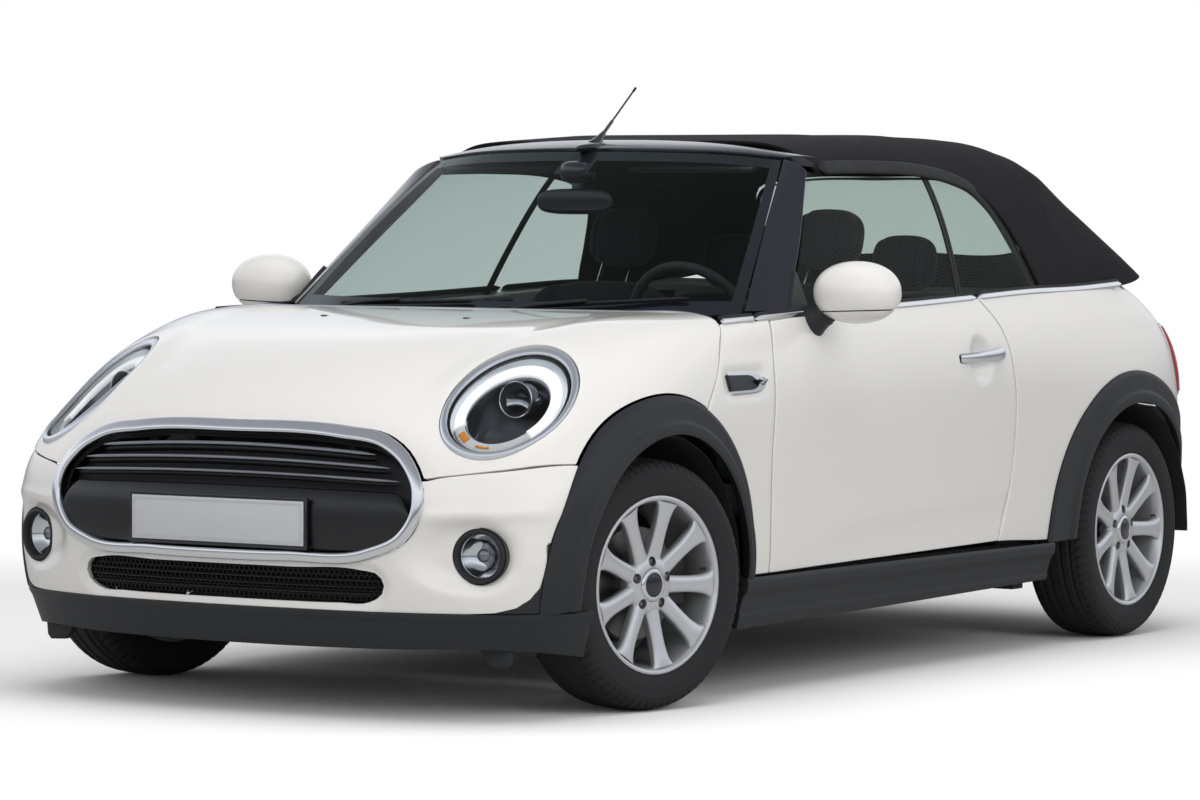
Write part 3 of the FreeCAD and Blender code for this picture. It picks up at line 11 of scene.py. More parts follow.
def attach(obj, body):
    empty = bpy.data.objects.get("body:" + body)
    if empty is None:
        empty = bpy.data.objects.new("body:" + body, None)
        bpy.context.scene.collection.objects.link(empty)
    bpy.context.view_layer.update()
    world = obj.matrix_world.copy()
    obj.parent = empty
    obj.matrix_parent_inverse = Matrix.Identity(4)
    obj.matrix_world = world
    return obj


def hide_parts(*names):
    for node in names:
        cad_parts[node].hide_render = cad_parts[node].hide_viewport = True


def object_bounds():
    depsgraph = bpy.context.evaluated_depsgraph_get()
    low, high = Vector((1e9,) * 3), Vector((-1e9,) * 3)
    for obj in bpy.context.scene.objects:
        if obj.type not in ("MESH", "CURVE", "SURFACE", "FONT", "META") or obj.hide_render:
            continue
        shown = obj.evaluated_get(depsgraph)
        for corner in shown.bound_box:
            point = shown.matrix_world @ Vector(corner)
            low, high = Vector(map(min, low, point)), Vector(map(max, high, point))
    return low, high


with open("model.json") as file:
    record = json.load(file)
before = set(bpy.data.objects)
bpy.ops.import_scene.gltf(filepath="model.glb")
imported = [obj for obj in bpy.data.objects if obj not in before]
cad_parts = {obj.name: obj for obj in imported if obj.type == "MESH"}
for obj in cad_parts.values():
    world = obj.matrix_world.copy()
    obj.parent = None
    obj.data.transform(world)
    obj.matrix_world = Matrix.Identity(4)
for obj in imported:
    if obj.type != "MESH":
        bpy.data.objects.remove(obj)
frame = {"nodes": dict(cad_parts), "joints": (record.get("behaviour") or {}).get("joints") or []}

bl_info = {
    "name": "Convertible car dressing",
    "version": (1, 0, 0),
    "blender": (4, 5, 0),
    "location": "View3D > Sidebar > Car",
    "description": "Dresses the packed car with panels, lamps, wheels, cloth and paint",
    "category": "Object",
}

CAD_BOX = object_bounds()
TURN = 2 * math.pi

# Sizes in millimetres. Places count from a plane between the axles, as the record's joints show.

JOINTS = {joint["name"]: joint for joint in frame["joints"]}
FRONT_AXLE = 1163.5
SHIFT = JOINTS["steer_left"]["pos_m"][1] * 1000 + FRONT_AXLE
TO_FRAME = Matrix.Translation((0, SHIFT * 0.001, 0)) @ Matrix.Scale(0.001, 4)
REAR_AXLE = JOINTS["rear_left_spin"]["pos_m"][1] * 1000 - SHIFT
WHEEL_HEIGHT = JOINTS["steer_left"]["pos_m"][2] * 1000
FRONT_END = 1856
REAR_END = 1935
HALF_WIDTH = 846
ROOF_HEIGHT = 1422
GAP = 6.2
HALF_GAP = GAP / 2
ARCH_GAP = 0.4
ARCH_RADIUS = 362
ARCH_HEIGHT = 308


class Line:
    """A smooth curve through hand-set points, level beyond its ends."""

    def __init__(self, points):
        self.at, self.value = np.array(points, float).T
        run = np.diff(self.at)
        rise = np.diff(self.value) / run
        inner = (rise[:-1] * run[1:] + rise[1:] * run[:-1]) / (run[:-1] + run[1:])
        self.slope = np.concatenate([rise[:1], inner, rise[-1:]])

    def __call__(self, place):
        place = np.clip(place, self.at[0], self.at[-1])
        k = np.clip(np.searchsorted(self.at, place, side="right") - 1, 0, len(self.at) - 2)
        run = self.at[k + 1] - self.at[k]
        t = (place - self.at[k]) / run
        return ((2 * t ** 3 - 3 * t ** 2 + 1) * self.value[k]
                + (t ** 3 - 2 * t ** 2 + t) * self.slope[k] * run
                + (3 * t ** 2 - 2 * t ** 3) * self.value[k + 1]
                + (t ** 3 - t ** 2) * self.slope[k + 1] * run)


def curve(points):
    """A function that runs from 0 to 1 along the points, evenly by length."""
    points = np.array(points, float)
    reach = np.concatenate([[0], np.cumsum(np.linalg.norm(np.diff(points, axis=0), axis=1))])
    lines = [Line(list(zip(reach / reach[-1], points[:, k]))) for k in range(points.shape[1])]
    return lambda part: np.stack([line(part) for line in lines], axis=-1)


def unit(vectors):
    return vectors / np.linalg.norm(vectors, axis=1)[:, None]


def squared(wave, power):
    """A wave between -1 and 1 with fuller shoulders."""
    return np.sign(wave) * np.abs(wave) ** power


def ease(value, low, high):
    """0 below low, 1 above high and smooth between."""
    t = np.clip((value - low) / (high - low), 0, 1)
    return t * t * (3 - 2 * t)


# The body's outer surface. A point is inside where the sum is under 1.

side_inset = Line([(140, 46), (200, 31), (260, 15), (330, 6), (450, 2), (600, 0), (700, 1), (780, 7), (850, 18),
                   (900, 32), (950, 52), (1010, 78), (1100, 131), (1250, 226)])
nose_inset = Line([(140, 66), (200, 43), (262, 24), (333, 10), (400, 2), (467, 0), (540, 1), (600, 9), (650, 24),
                   (701, 50), (747, 82), (800, 122), (850, 162), (950, 234)])
tail_inset = Line([(140, 80), (200, 50), (262, 27), (333, 12), (400, 4), (467, 0), (540, 0), (600, 0), (685, 2),
                   (760, 12), (834, 30), (880, 52), (924, 85), (960, 120), (1000, 165), (1100, 225)])
top_line = Line([(-1870, 850), (-1727, 880), (-1600, 885), (-1500, 892), (-1400, 905), (-1300, 920), (-1200, 932),
                 (-1115, 941), (-1000, 950), (-860, 957), (-760, 961), (-664, 964), (-600, 990), (-500, 1150),
                 (-400, 1300), (1000, 1300), (1300, 1120), (1450, 1045), (1600, 1012), (1900, 1000)])
shoulder_line = Line([(-1870, 470), (-1500, 480), (-1200, 540), (-860, 600), (1900, 600)])
squareness = Line([(-1870, 2.2), (-1640, 2.2), (-1500, 2.5), (-1300, 4.2), (-1100, 8), (-900, 16), (-760, 20),
                   (-600, 18), (1300, 12), (1500, 9), (1700, 2.8), (1850, 2.2)])
cabin_inset = Line([(940, 58), (1050, 98), (1150, 140), (1250, 186), (1330, 224), (1420, 270)])
roof_line = Line([(-300, -70), (-200, -42), (-100, -26), (100, -10), (400, -1), (700, 0), (950, -5), (1100, -22),
                  (1200, -52), (1300, -104), (1400, -172), (1500, -254), (1600, -342), (1680, -410), (1760, -480)])
front_cladding = Line([(-40, 408), (10, 400), (45, 428), (90, 456), (120, 462), (180, 462), (200, 455)])
rear_cladding = Line([(-40, 440), (0, 440), (45, 446), (90, 452), (127, 466), (160, 500), (182, 520), (200, 520)])
FRONT_ARCH, REAR_ARCH = (front_cladding, -FRONT_AXLE), (rear_cladding, REAR_AXLE)
NOSE_START = -1000
TAIL_START = 1050
NOSE_ROUNDING = 6.3
TAIL_ROUNDING = 5.5


def outside(x, y, z):
    """The body below the waist."""
    power = squareness(y)
    swell = np.exp(-((y + FRONT_AXLE) / 300) ** 2) + np.exp(-((y - REAR_AXLE) / 300) ** 2)
    swell = 14 * swell * np.maximum(0, 1 - ((z - 520) / 360) ** 2)
    across = np.abs(x) / (HALF_WIDTH - side_inset(z) + swell)
    nose = FRONT_END - nose_inset(z)
    tail = REAR_END - tail_inset(z)
    front = np.maximum(0, (NOSE_START - y) / (NOSE_START + nose)) ** NOSE_ROUNDING
    back = np.maximum(0, (y - TAIL_START) / (tail - TAIL_START)) ** TAIL_ROUNDING
    base = shoulder_line(y)
    up = np.maximum(0, (z - base) / (top_line(y) - base))
    return across ** power + front + back + up ** power


def cabin(x, y, z):
    """The glass and roof surface above the waist."""
    across = np.abs(x) / (HALF_WIDTH - cabin_inset(z))
    top = ROOF_HEIGHT + roof_line(y)
    up = np.maximum(0, (z - 600) / np.maximum(top - 600, 10))
    return across ** 9 + up ** 9


def cast(start, heading, surface):
    """Each ray's last point inside a surface."""
    far = np.zeros(len(start))
    for _ in range(70):
        point = start + heading * far[:, None]
        inside = (surface(*point.T) < 1) & (far < 3000)
        if not inside.any():
            break
        far[inside] += 50
    near = far - 50
    for _ in range(20):
        middle = (near + far) / 2
        inside = surface(*(start + heading * middle[:, None]).T) < 1
        near = np.where(inside, middle, near)
        far = np.where(inside, far, middle)
    return start + heading * near[:, None]


def spine(points):
    """The points inside the body from which a panel's points are cast outwards."""
    y = points[:, 1]
    middle = np.where(y < -900, -900 + 0.35 * (y + 900), np.where(y > 900, 900 + 0.35 * (y - 900), y))
    return np.stack([0 * y, middle, points[:, 2]], axis=1)


def low_spine(points):
    """The same for panels that lie on top of the body."""
    start = spine(points)
    return np.stack([0.5 * points[:, 0], start[:, 1], 0 * start[:, 1] + 420], axis=1)


def roof_spine(points):
    return np.stack([0.3 * points[:, 0], np.clip(points[:, 1], -200, 1100), 0 * points[:, 0] + 760], axis=1)


def land(points, anchor=spine, surface=outside):
    """Moves points onto the surface, along lines from their anchors."""
    points = np.atleast_2d(np.array(points, float))
    start = anchor(points)
    run = points - start
    return cast(start, unit(run), surface)


def slope(points, surface):
    """The surface's outward normals."""
    step = 1.0
    parts = []
    for axis in range(3):
        shift = np.zeros(3)
        shift[axis] = step
        parts.append(surface(*(points + shift).T) - surface(*(points - shift).T))
    return unit(np.stack(parts, axis=1))


# Meshes, in car millimetres until they are placed

def sheet(columns, rows, shape):
    """A grid whose corners run from 0 to 1 each way, moved to where shape(u, v) puts it."""
    mesh = bmesh.new()
    bmesh.ops.create_grid(mesh, x_segments=columns, y_segments=rows, size=0.5)
    flat = np.array([vertex.co for vertex in mesh.verts])
    u, v = flat[:, 0] + 0.5, flat[:, 1] + 0.5
    uv = mesh.loops.layers.uv.new("UVMap")
    for vertex, across, up in zip(mesh.verts, u, v):
        for loop in vertex.link_loops:
            loop[uv].uv = (across, up)
    for vertex, spot in zip(mesh.verts, shape(u, v)):
        vertex.co = spot
    return mesh


def closed(mesh, distance=0.01):
    """Merges a grid's seams and poles and turns its faces outwards."""
    bmesh.ops.remove_doubles(mesh, verts=mesh.verts, dist=distance)
    bmesh.ops.dissolve_degenerate(mesh, edges=mesh.edges, dist=distance)
    bmesh.ops.recalc_face_normals(mesh, faces=mesh.faces)
    return mesh


def patch(low, high, left, right, anchor=spine, surface=outside, shape=None, stand=0.0):
    """A function of u and v that lies on a surface between four edges, the lowest and highest straight if None."""
    low, high = low or [left[0], right[0]], high or [left[-1], right[-1]]
    low, high, left, right = [curve(land(edge, anchor, surface)) for edge in (low, high, left, right)]

    def spot(u, v):
        a, b = u[:, None], v[:, None]
        ends = np.array([0, 1])
        (near, far), (high_near, high_far) = low(ends), high(ends)
        ruled = (1 - b) * low(u) + b * high(u) + (1 - a) * left(v) + a * right(v)
        twice = (1 - a) * (1 - b) * near + a * (1 - b) * far + (1 - a) * b * high_near + a * b * high_far
        points = land(ruled - twice, anchor, surface)
        move = np.zeros(len(points)) + stand
        if shape is not None:
            move = move + shape(points)
        return points + slope(points, surface) * move[:, None]
    return spot


def turned_out(mesh, inside):
    """Turns an open sheet's faces away from a point inside."""
    total = sum(face.normal.dot(face.calc_center_median() - Vector(inside)) * face.calc_area()
                for face in mesh.faces)
    if total < 0:
        bmesh.ops.reverse_faces(mesh, faces=mesh.faces)
    return mesh


def skin(columns, rows, spot, inside=(0, 0, 500)):
    mesh = sheet(columns, rows, spot)
    mesh.normal_update()
    return turned_out(mesh, inside)


def lathe(profile, count=64, axis=(1, 0, 0), centre=(0, 0, 0)):
    """A profile of distances along and from the axis, turned round it."""
    mesh = bmesh.new()
    axis = Vector(axis).normalized()
    side = axis.orthogonal().normalized() if abs(axis.x) < 0.999 else Vector((0, 0, 1))
    spots = [mesh.verts.new(Vector(centre) + axis * along + side * reach) for along, reach in profile]
    edges = [mesh.edges.new(pair) for pair in zip(spots, spots[1:])]
    bmesh.ops.spin(mesh, geom=spots + edges, cent=centre, axis=axis, angle=TURN, steps=count,
                   use_merge=True)
    return closed(mesh)


def capped(columns, rows, shape):
    """A closed form from a grid whose open ends are filled."""
    mesh = closed(sheet(columns, rows, shape))
    bmesh.ops.holes_fill(mesh, edges=[edge for edge in mesh.edges if edge.is_boundary])
    bmesh.ops.recalc_face_normals(mesh, faces=mesh.faces)
    return mesh


def moved(mesh, place):
    bmesh.ops.translate(mesh, verts=mesh.verts, vec=place)
    return mesh


def rod(start, end, radius, far_radius=None, count=24):
    """A round bar between two points."""
    start, end = Vector(start), Vector(end)
    run = end - start
    mesh = bmesh.new()
    turn = run.to_track_quat("Z", "Y").to_matrix().to_4x4()
    bmesh.ops.create_cone(mesh, cap_ends=True, segments=count, radius1=radius,
                          radius2=radius if far_radius is None else far_radius, depth=run.length,
                          matrix=Matrix.Translation((start + end) / 2) @ turn)
    return mesh


def block(low, high, turn=None):
    """A box between two corners, turned about its middle."""
    low, high = Vector(low), Vector(high)
    mesh = bmesh.new()
    place = Matrix.Translation((low + high) / 2) @ (turn.to_4x4() if turn else Matrix())
    bmesh.ops.create_cube(mesh, size=1, matrix=place @ Matrix.Diagonal((*(high - low), 1)))
    return mesh


def new_corners(made):
    return [item for item in made["geom"] if isinstance(item, bmesh.types.BMVert)]


def prism(outline, low, high, axis=1):
    """A flat outline drawn through the car along one axis. The outline gives the other two places in order."""
    mesh = bmesh.new()
    spots = []
    for a, b in outline:
        spot = [a, b]
        spot.insert(axis, low)
        spots.append(mesh.verts.new(spot))
    face = mesh.faces.new(spots)
    made = bmesh.ops.extrude_face_region(mesh, geom=[face])
    run = Vector((0, 0, 0))
    run[axis] = high - low
    bmesh.ops.translate(mesh, verts=new_corners(made), vec=run)
    bmesh.ops.recalc_face_normals(mesh, faces=mesh.faces)
    return mesh


def merged(*meshes):
    """Several meshes as one."""
    whole = meshes[0]
    for mesh in meshes[1:]:
        holder = bpy.data.meshes.new("holder")
        mesh.to_mesh(holder)
        whole.from_mesh(holder)
        bpy.data.meshes.remove(holder)
        mesh.free()
    return whole


def other_side(mesh):
    """The mirror image, with its faces still outwards."""
    twin = mesh.copy()
    bmesh.ops.scale(twin, vec=(-1, 1, 1), verts=twin.verts)
    bmesh.ops.reverse_faces(twin, faces=twin.faces)
    return twin


def both(mesh):
    return merged(mesh, other_side(mesh))


def draft(mesh, name="draft"):
    """An object out of a mesh that is still in car millimetres."""
    data = bpy.data.meshes.new(name)
    mesh.to_mesh(data)
    mesh.free()
    thing = bpy.data.objects.new(name, data)
    bpy.context.scene.collection.objects.link(thing)
    return thing


def modified(mesh, *steps):
    """Runs modifiers, each a kind and its settings, over a mesh."""
    thing = draft(mesh)
    for index, (kind, settings) in enumerate(steps):
        modifier = thing.modifiers.new(str(index), kind)
        for key, value in settings.items():
            setattr(modifier, key, value)
    graph = bpy.context.evaluated_depsgraph_get()
    data = bpy.data.meshes.new_from_object(thing.evaluated_get(graph))
    whole = bmesh.new()
    whole.from_mesh(data)
    bpy.data.meshes.remove(data)
    bpy.data.objects.remove(thing)
    return whole


def thick(mesh, thickness, offset=-1):
    return modified(mesh, ("SOLIDIFY", {"thickness": thickness, "offset": offset, "use_rim": True}))


def carved(mesh, *tools):
    """A closed mesh with other closed meshes taken out of it."""
    things = [draft(tool, "tool") for tool in tools]
    steps = [("BOOLEAN", {"operation": "DIFFERENCE", "solver": "EXACT", "object": thing}) for thing in things]
    whole = modified(mesh, *steps)
    for thing in things:
        bpy.data.objects.remove(thing)
    return whole


def kept(mesh, tool):
    """The part of a closed mesh that lies inside another."""
    thing = draft(tool, "tool")
    whole = modified(mesh, ("BOOLEAN", {"operation": "INTERSECT", "solver": "EXACT", "object": thing}))
    bpy.data.objects.remove(thing)
    return whole


def eased(mesh, width, segments=3, angle=35):
    """Rounds a mesh's sharp edges."""
    return modified(mesh, ("BEVEL", {"width": width, "segments": segments, "limit_method": "ANGLE",
                                     "angle_limit": math.radians(angle), "profile": 0.5,
                                     "use_clamp_overlap": True, "harden_normals": False}))


SLOTS = {"paint": "paint", "cladding": "black_plastic", "gloss_black": "gloss_black", "chrome": "chrome",
         "satin_chrome": "chrome", "wheel_silver": "alloy", "tyre_rubber": "tyre", "glass": "glass",
         "screen_glass": "glass", "canopy_cloth": "fabric", "seat_cloth": "seat", "lamp_lens": "lens",
         "red_lens": "red_lens", "plate_face": "plate"}


def piece(name, mesh, finish, node=None, sharp=38, body="body"):
    """Places a mesh in the frame as a finished piece that rides on a body and may stand for a node."""
    mesh.transform(TO_FRAME)
    mesh.normal_update()
    data = bpy.data.meshes.new(name)
    mesh.to_mesh(data)
    mesh.free()
    data.shade_smooth()
    data.set_sharp_from_angle(angle=math.radians(sharp))
    data.materials.append(FINISHES[finish])
    thing = bpy.data.objects.new(name, data)
    bpy.context.scene.collection.objects.link(thing)
    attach(thing, body)
    if node:
        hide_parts(node)
    finish in SLOTS
    return thing


def on_doors(name, mesh, finish, node=None, sharp=38):
    """A piece on each door, the right one mirrored."""
    for side, one in (("left", mesh.copy()), ("right", other_side(mesh))):
        piece(f"{name}_{side}", one, finish, node and f"{node}_{side}", sharp, f"{side}_door")


# Finishes. Each one is a set of nodes that read the object's own place, in metres.

class Field:
    """A shader socket that takes part in sums."""

    def __init__(self, finish, socket):
        self.finish = finish
        self.socket = socket

    def sum(self, operation, *values):
        return self.finish.node("ShaderNodeMath", {"operation": operation}, dict(enumerate(values)))

    def __add__(self, other):
        return self.sum("ADD", self, other)

    def __radd__(self, other):
        return self.sum("ADD", other, self)

    def __sub__(self, other):
        return self.sum("SUBTRACT", self, other)

    def __rsub__(self, other):
        return self.sum("SUBTRACT", other, self)

    def __mul__(self, other):
        return self.sum("MULTIPLY", self, other)

    def __rmul__(self, other):
        return self.sum("MULTIPLY", other, self)

    def between(self, low, high):
        """0 below low and 1 above high."""
        return self.finish.node("ShaderNodeMapRange", {"interpolation_type": "SMOOTHSTEP"},
                                {"Value": self, "From Min": low, "From Max": high})


class Nodes:
    """A tree of shader nodes under construction."""

    def __init__(self, owner):
        owner.use_nodes = True
        self.tree = owner.node_tree
        self.tree.nodes.clear()

    def node(self, kind, settings=None, sockets=None, output=0):
        node = self.tree.nodes.new(kind)
        for key, value in (settings or {}).items():
            setattr(node, key, value)
        for key, value in (sockets or {}).items():
            self.fill(node.inputs[key], value)
        return Field(self, node.outputs[output])

    def fill(self, socket, value):
        if isinstance(value, Field):
            self.tree.links.new(value.socket, socket)
        elif isinstance(value, tuple) and len(value) == 3 and socket.type == "RGBA":
            socket.default_value = (*value, 1)
        else:
            socket.default_value = value


class Finish(Nodes):
    """A material under construction."""

    def __init__(self, name, **fixed):
        self.material = bpy.data.materials.new(name)
        super().__init__(self.material)
        self.place = self.node("ShaderNodeTexCoord", output="Object")
        self.shader = self.node("ShaderNodeBsdfPrincipled", None, fixed)
        self.show(self.shader)

    def show(self, shader):
        output = next((node for node in self.tree.nodes if node.type == "OUTPUT_MATERIAL"), None)
        output = output or self.tree.nodes.new("ShaderNodeOutputMaterial")
        self.tree.links.new(shader.socket, output.inputs["Surface"])

    def set(self, **sockets):
        for key, value in sockets.items():
            self.fill(self.shader.socket.node.inputs[key.replace("_", " ")], value)

    def noise(self, scale, detail=2.0, stretch=(1, 1, 1)):
        place = self.node("ShaderNodeMapping", None, {"Vector": self.place, "Scale": stretch}, output="Vector")
        return self.node("ShaderNodeTexNoise", None, {"Vector": place, "Scale": scale, "Detail": detail},
                         output="Fac")

    def cells(self, scale, feature="F1"):
        return self.node("ShaderNodeTexVoronoi", {"feature": feature},
                         {"Vector": self.place, "Scale": scale}, output="Distance")

    def wave(self, scale, along, distortion=0.0):
        return self.node("ShaderNodeTexWave", {"bands_direction": along, "wave_profile": "SIN"},
                         {"Vector": self.place, "Scale": scale, "Distortion": distortion}, output="Fac")

    def blend(self, factor, low, high):
        """One colour where factor is 0 and another where it is 1."""
        node = self.tree.nodes.new("ShaderNodeMix")
        node.data_type = "RGBA"
        self.fill(node.inputs[0], factor)
        self.fill(node.inputs[6], low)
        self.fill(node.inputs[7], high)
        return Field(self, node.outputs[2])

    def shade(self, mask, colour, low, high=1.0):
        """A colour that goes from one share of itself to another."""
        return self.blend(mask, *[tuple(share * part for part in colour) for share in (low, high)])

    def dress(self, mask, colour, low, high, rough, vary, spread=None):
        """A colour that follows a mask, and a roughness that follows the mask or another spread."""
        spread = mask if spread is None else spread
        self.set(Base_Color=self.shade(mask, colour, low, high), Roughness=rough + vary * spread)

    def relief(self, height, depth, strength):
        """Bumps whose full height is depth metres."""
        normal = self.node("ShaderNodeBump", None, {"Strength": strength, "Distance": depth, "Height": height},
                           output="Normal")
        self.set(Normal=normal)


def coated(name, colour, roughness, coat=1.0):
    """Gloss paint: a slight waviness under a clear coat."""
    finish = Finish(name, **{"Coat Weight": coat, "Coat Roughness": 0.03, "Coat IOR": 1.5, "IOR": 1.5})
    finish.dress(finish.noise(2.5, 3), colour, 0.985, 1, roughness, 0.04)
    finish.relief(finish.noise(260, 1), 0.00002, 0.5)
    return finish.material


def moulded(name, colour, roughness, grain=900, depth=0.00012):
    """Moulded plastic with a fine leather grain."""
    finish = Finish(name, **{"IOR": 1.46})
    spots = finish.cells(grain, "DISTANCE_TO_EDGE")
    finish.dress(finish.noise(14, 4), colour, 0.86, 1.1, roughness, 0.1)
    finish.relief(spots.between(0.0, 0.35), depth, 0.5)
    return finish.material


def metal(name, colour, roughness, brushed=0.0):
    finish = Finish(name, **{"Metallic": 1.0})
    finish.dress(finish.noise(30, 3), colour, 0.96, 1, roughness, 0.05)
    finish.relief(finish.noise(700, 2, (1, 1, 12 if brushed else 1)), 0.00001 + brushed, 0.3)
    return finish.material


def flake(name, colour):
    """Wheel lacquer with metal flakes under it."""
    finish = Finish(name, **{"Metallic": 0.75, "Coat Weight": 0.5, "Coat Roughness": 0.05})
    finish.dress(finish.noise(1500, 2), colour, 0.9, 1.06, 0.27, 0.08, finish.noise(12, 3))
    finish.relief(finish.noise(300, 2), 0.00003, 0.3)
    return finish.material


def rubber(name, colour, sheen=0.62):
    finish = Finish(name, **{"IOR": 1.45})
    finish.dress(finish.noise(25, 5), colour, 0.75, 1.25, sheen, 0.2)
    finish.relief(finish.noise(600, 3), 0.0002, 0.4)
    return finish.material


def woven(name, colour, pitch, depth, sheen=0.03):
    """Cloth: two crossing sets of threads over a slow change of shade."""
    finish = Finish(name, **{"Sheen Weight": sheen, "Sheen Roughness": 0.45, "Specular IOR Level": 0.2})
    warp = finish.wave(pitch, "X", 0.6)
    weft = finish.wave(pitch, "Y", 0.6)
    rise = finish.wave(pitch, "Z", 0.6)
    threads = warp * 0.4 + weft * 0.4 + rise * 0.4
    cloud = finish.noise(6, 5)
    fuzz = finish.noise(420, 3)
    finish.dress(cloud * 0.6 + fuzz * 0.4, colour, 0.62, 1.5, 0.82, 0.12, fuzz)
    finish.relief(threads + fuzz * 0.6, depth, 0.7)
    return finish.material


def pane(name, colour, veil, gloss=0.0):
    """Glass that is seen through, with a reflection that grows at a slant."""
    finish = Finish(name)
    smears = finish.noise(3, 3)
    finish.set(Base_Color=finish.shade(smears, colour, 0.1, 0.14), Roughness=0.01 + gloss,
               IOR=1.5)
    clear = finish.node("ShaderNodeBsdfTransparent", None, {"Color": colour})
    slant = finish.node("ShaderNodeLayerWeight", None, {"Blend": 0.5}, output="Facing")
    slant = slant.sum("POWER", slant, 4.0)
    seen = finish.node("ShaderNodeMixShader", None, {0: veil + slant * 0.55, 1: clear, 2: finish.shader})
    finish.show(seen)
    return finish.material


def lit(name, colour, painted_glow):
    """A lamp's white or amber plastic that catches light."""
    finish = Finish(name, **{"Emission Strength": painted_glow, "IOR": 1.5, "Coat Weight": 0.6})
    ribs = finish.wave(90, "X")
    finish.dress(ribs, colour, 0.9, 1, 0.2, 0.1, finish.noise(60, 2))
    finish.set(Emission_Color=finish.shade(ribs, colour, 0.85))
    return finish.material


def plated(name, colour):
    """Reflective sheeting: tiny beads in pressed metal."""
    finish = Finish(name, **{"Coat Weight": 0.4, "Coat Roughness": 0.2})
    beads = finish.cells(1400)
    finish.dress(finish.noise(8, 2), colour, 0.93, 1, 0.38, 0.1, beads)
    finish.relief(beads, 0.00005, 0.4)
    return finish.material


def ribbed(name, colour, pitch, along, depth, **fixed):
    """A lens moulded with ribs."""
    finish = Finish(name, **fixed)
    ribs = finish.wave(pitch, along)
    finish.dress(ribs, colour, 0.7, 1, 0.12, 0.08, finish.noise(40, 2))
    finish.relief(ribs, depth, 0.5)
    return finish.material


FINISHES = {}


def make_finishes(colours):
    """All the materials, from the colours that the panel in the sidebar sets."""
    paint, silver, cloth = [tuple(colour) for colour in (colours.paint, colours.wheels, colours.canopy)]
    FINISHES.update({
        "paint": coated("warm_white_paint", paint, 0.3),
        "gloss_black": coated("gloss_black", (0.008, 0.009, 0.015), 0.12, 0.6),
        "bar_black": coated("bar_black", (0.004, 0.004, 0.005), 0.3, 0.15),
        "cladding": moulded("satin_cladding", (0.017, 0.0185, 0.021), 0.44),
        "cabin_plastic": moulded("cabin_plastic", (0.03, 0.03, 0.032), 0.55, 500, 0.0002),
        "housing": moulded("lamp_housing", (0.006, 0.006, 0.007), 0.45, 700, 0.00008),
        "honeycomb_black": moulded("grille_black", (0.008, 0.008, 0.009), 0.5, 900, 0.00006),
        "chrome": metal("bright_chrome", (0.82, 0.83, 0.85), 0.05),
        "satin_chrome": metal("satin_chrome", (0.86, 0.89, 0.94), 0.32),
        "dark_chrome": metal("dark_reflector", (0.3, 0.31, 0.33), 0.22),
        "wheel_silver": flake("wheel_silver", silver),
        # The iron's grey is partly its own colour and partly painted shade, darkened for the shade inside the
        # wheels; the bolts and the silencer share it.
        "iron_with_painted_shade": metal("iron_with_painted_shade", (0.2, 0.195, 0.19), 0.35, 0.00004),
        "caliper_grey": metal("caliper_grey", (0.09, 0.09, 0.09), 0.5),
        "tyre_rubber": rubber("tyre_rubber", (0.016, 0.016, 0.017)),
        "seal_rubber": rubber("seal_rubber", (0.01, 0.01, 0.011), 0.5),
        "canopy_cloth": woven("canopy_cloth", cloth, 330, 0.0004),
        "seat_cloth": woven("seat_cloth", (0.026, 0.028, 0.032), 260, 0.0006, 0.15),
        "carpet": woven("floor_carpet", (0.02, 0.02, 0.021), 180, 0.001, 0.2),
        "glass": pane("side_glass", (0.8, 0.845, 0.83), 0.03),
        "screen_glass": pane("screen_glass", (0.82, 0.865, 0.86), 0.02),
        "lamp_lens": pane("lamp_lens", (0.97, 0.98, 0.98), 0.02),
        "mirror_glass": metal("mirror_glass", (0.7, 0.73, 0.75), 0.01),
        # The daytime ring's emission of 0.5 is a painted glow that lifts it out of the shade in the lamp's bowl.
        "day_white": lit("daytime_white", (0.92, 0.93, 0.95), 0.5),
        "amber": ribbed("amber_lens", (0.75, 0.27, 0.03), 160, "X", 0.0004, IOR=1.5),
        "red_lens": ribbed("red_lens", (0.45, 0.008, 0.01), 120, "Z", 0.0005,
                           **{"IOR": 1.5, "Coat Weight": 1.0, "Coat Roughness": 0.02}),
        "plate_face": plated("plate_face", (0.56, 0.57, 0.58)),
        "underbody": rubber("underbody_coating", (0.018, 0.018, 0.019), 0.7),
        "painted_steel": rubber("painted_steel", (0.035, 0.036, 0.038), 0.45),
    })


# Body panels

LAMP_MIDDLE = np.array((627, -1539, 752))
LAMP_AXIS = np.array((0.285, -0.957, 0.051))
LAMP_SIDE = np.cross((0, 0, 1), LAMP_AXIS) / np.linalg.norm(np.cross((0, 0, 1), LAMP_AXIS))
LAMP_UP = np.cross(LAMP_AXIS, LAMP_SIDE)
LAMP_HALF, LAMP_TILT = (149.4, 130.9), 0.531
FOG_CENTRE = np.array((668, -1729, 399))
FOG_AXIS = np.array((0.25, -0.97, 0)) / np.linalg.norm((0.25, -0.97, 0))
GRILLE_TOP = [(538, 578), (500, 630), (430, 672), (300, 692), (0, 700)]
SURROUND = ([(0, 701), (300, 693), (430, 672), (500, 630), (548, 560), (552, 505), (510, 430), (420, 388),
             (200, 376), (0, 374)], (0, 540))
INTAKE = ([(0, 362), (200, 362), (390, 360), (432, 351), (446, 330), (438, 304), (408, 286), (320, 281),
           (200, 280), (0, 280)], (0, 316))
BUMPER_CORNER = [(520, 200), (520, 261.5), (630, 262.5), (695, 266), (734, 277), (759, 297), (777, 325), (790, 373),
                 (792, 430), (900, 430), (900, 200)]
REAR_PANE = ([(0, 1310), (300, 1300), (430, 1270), (470, 1200), (460, 1130), (380, 1100), (0, 1090)], (0, 1200))
DOOR_FRONT = [(305, 0), (441, -2), (606, 1), (741, 20), (862, 36), (936, 66)]
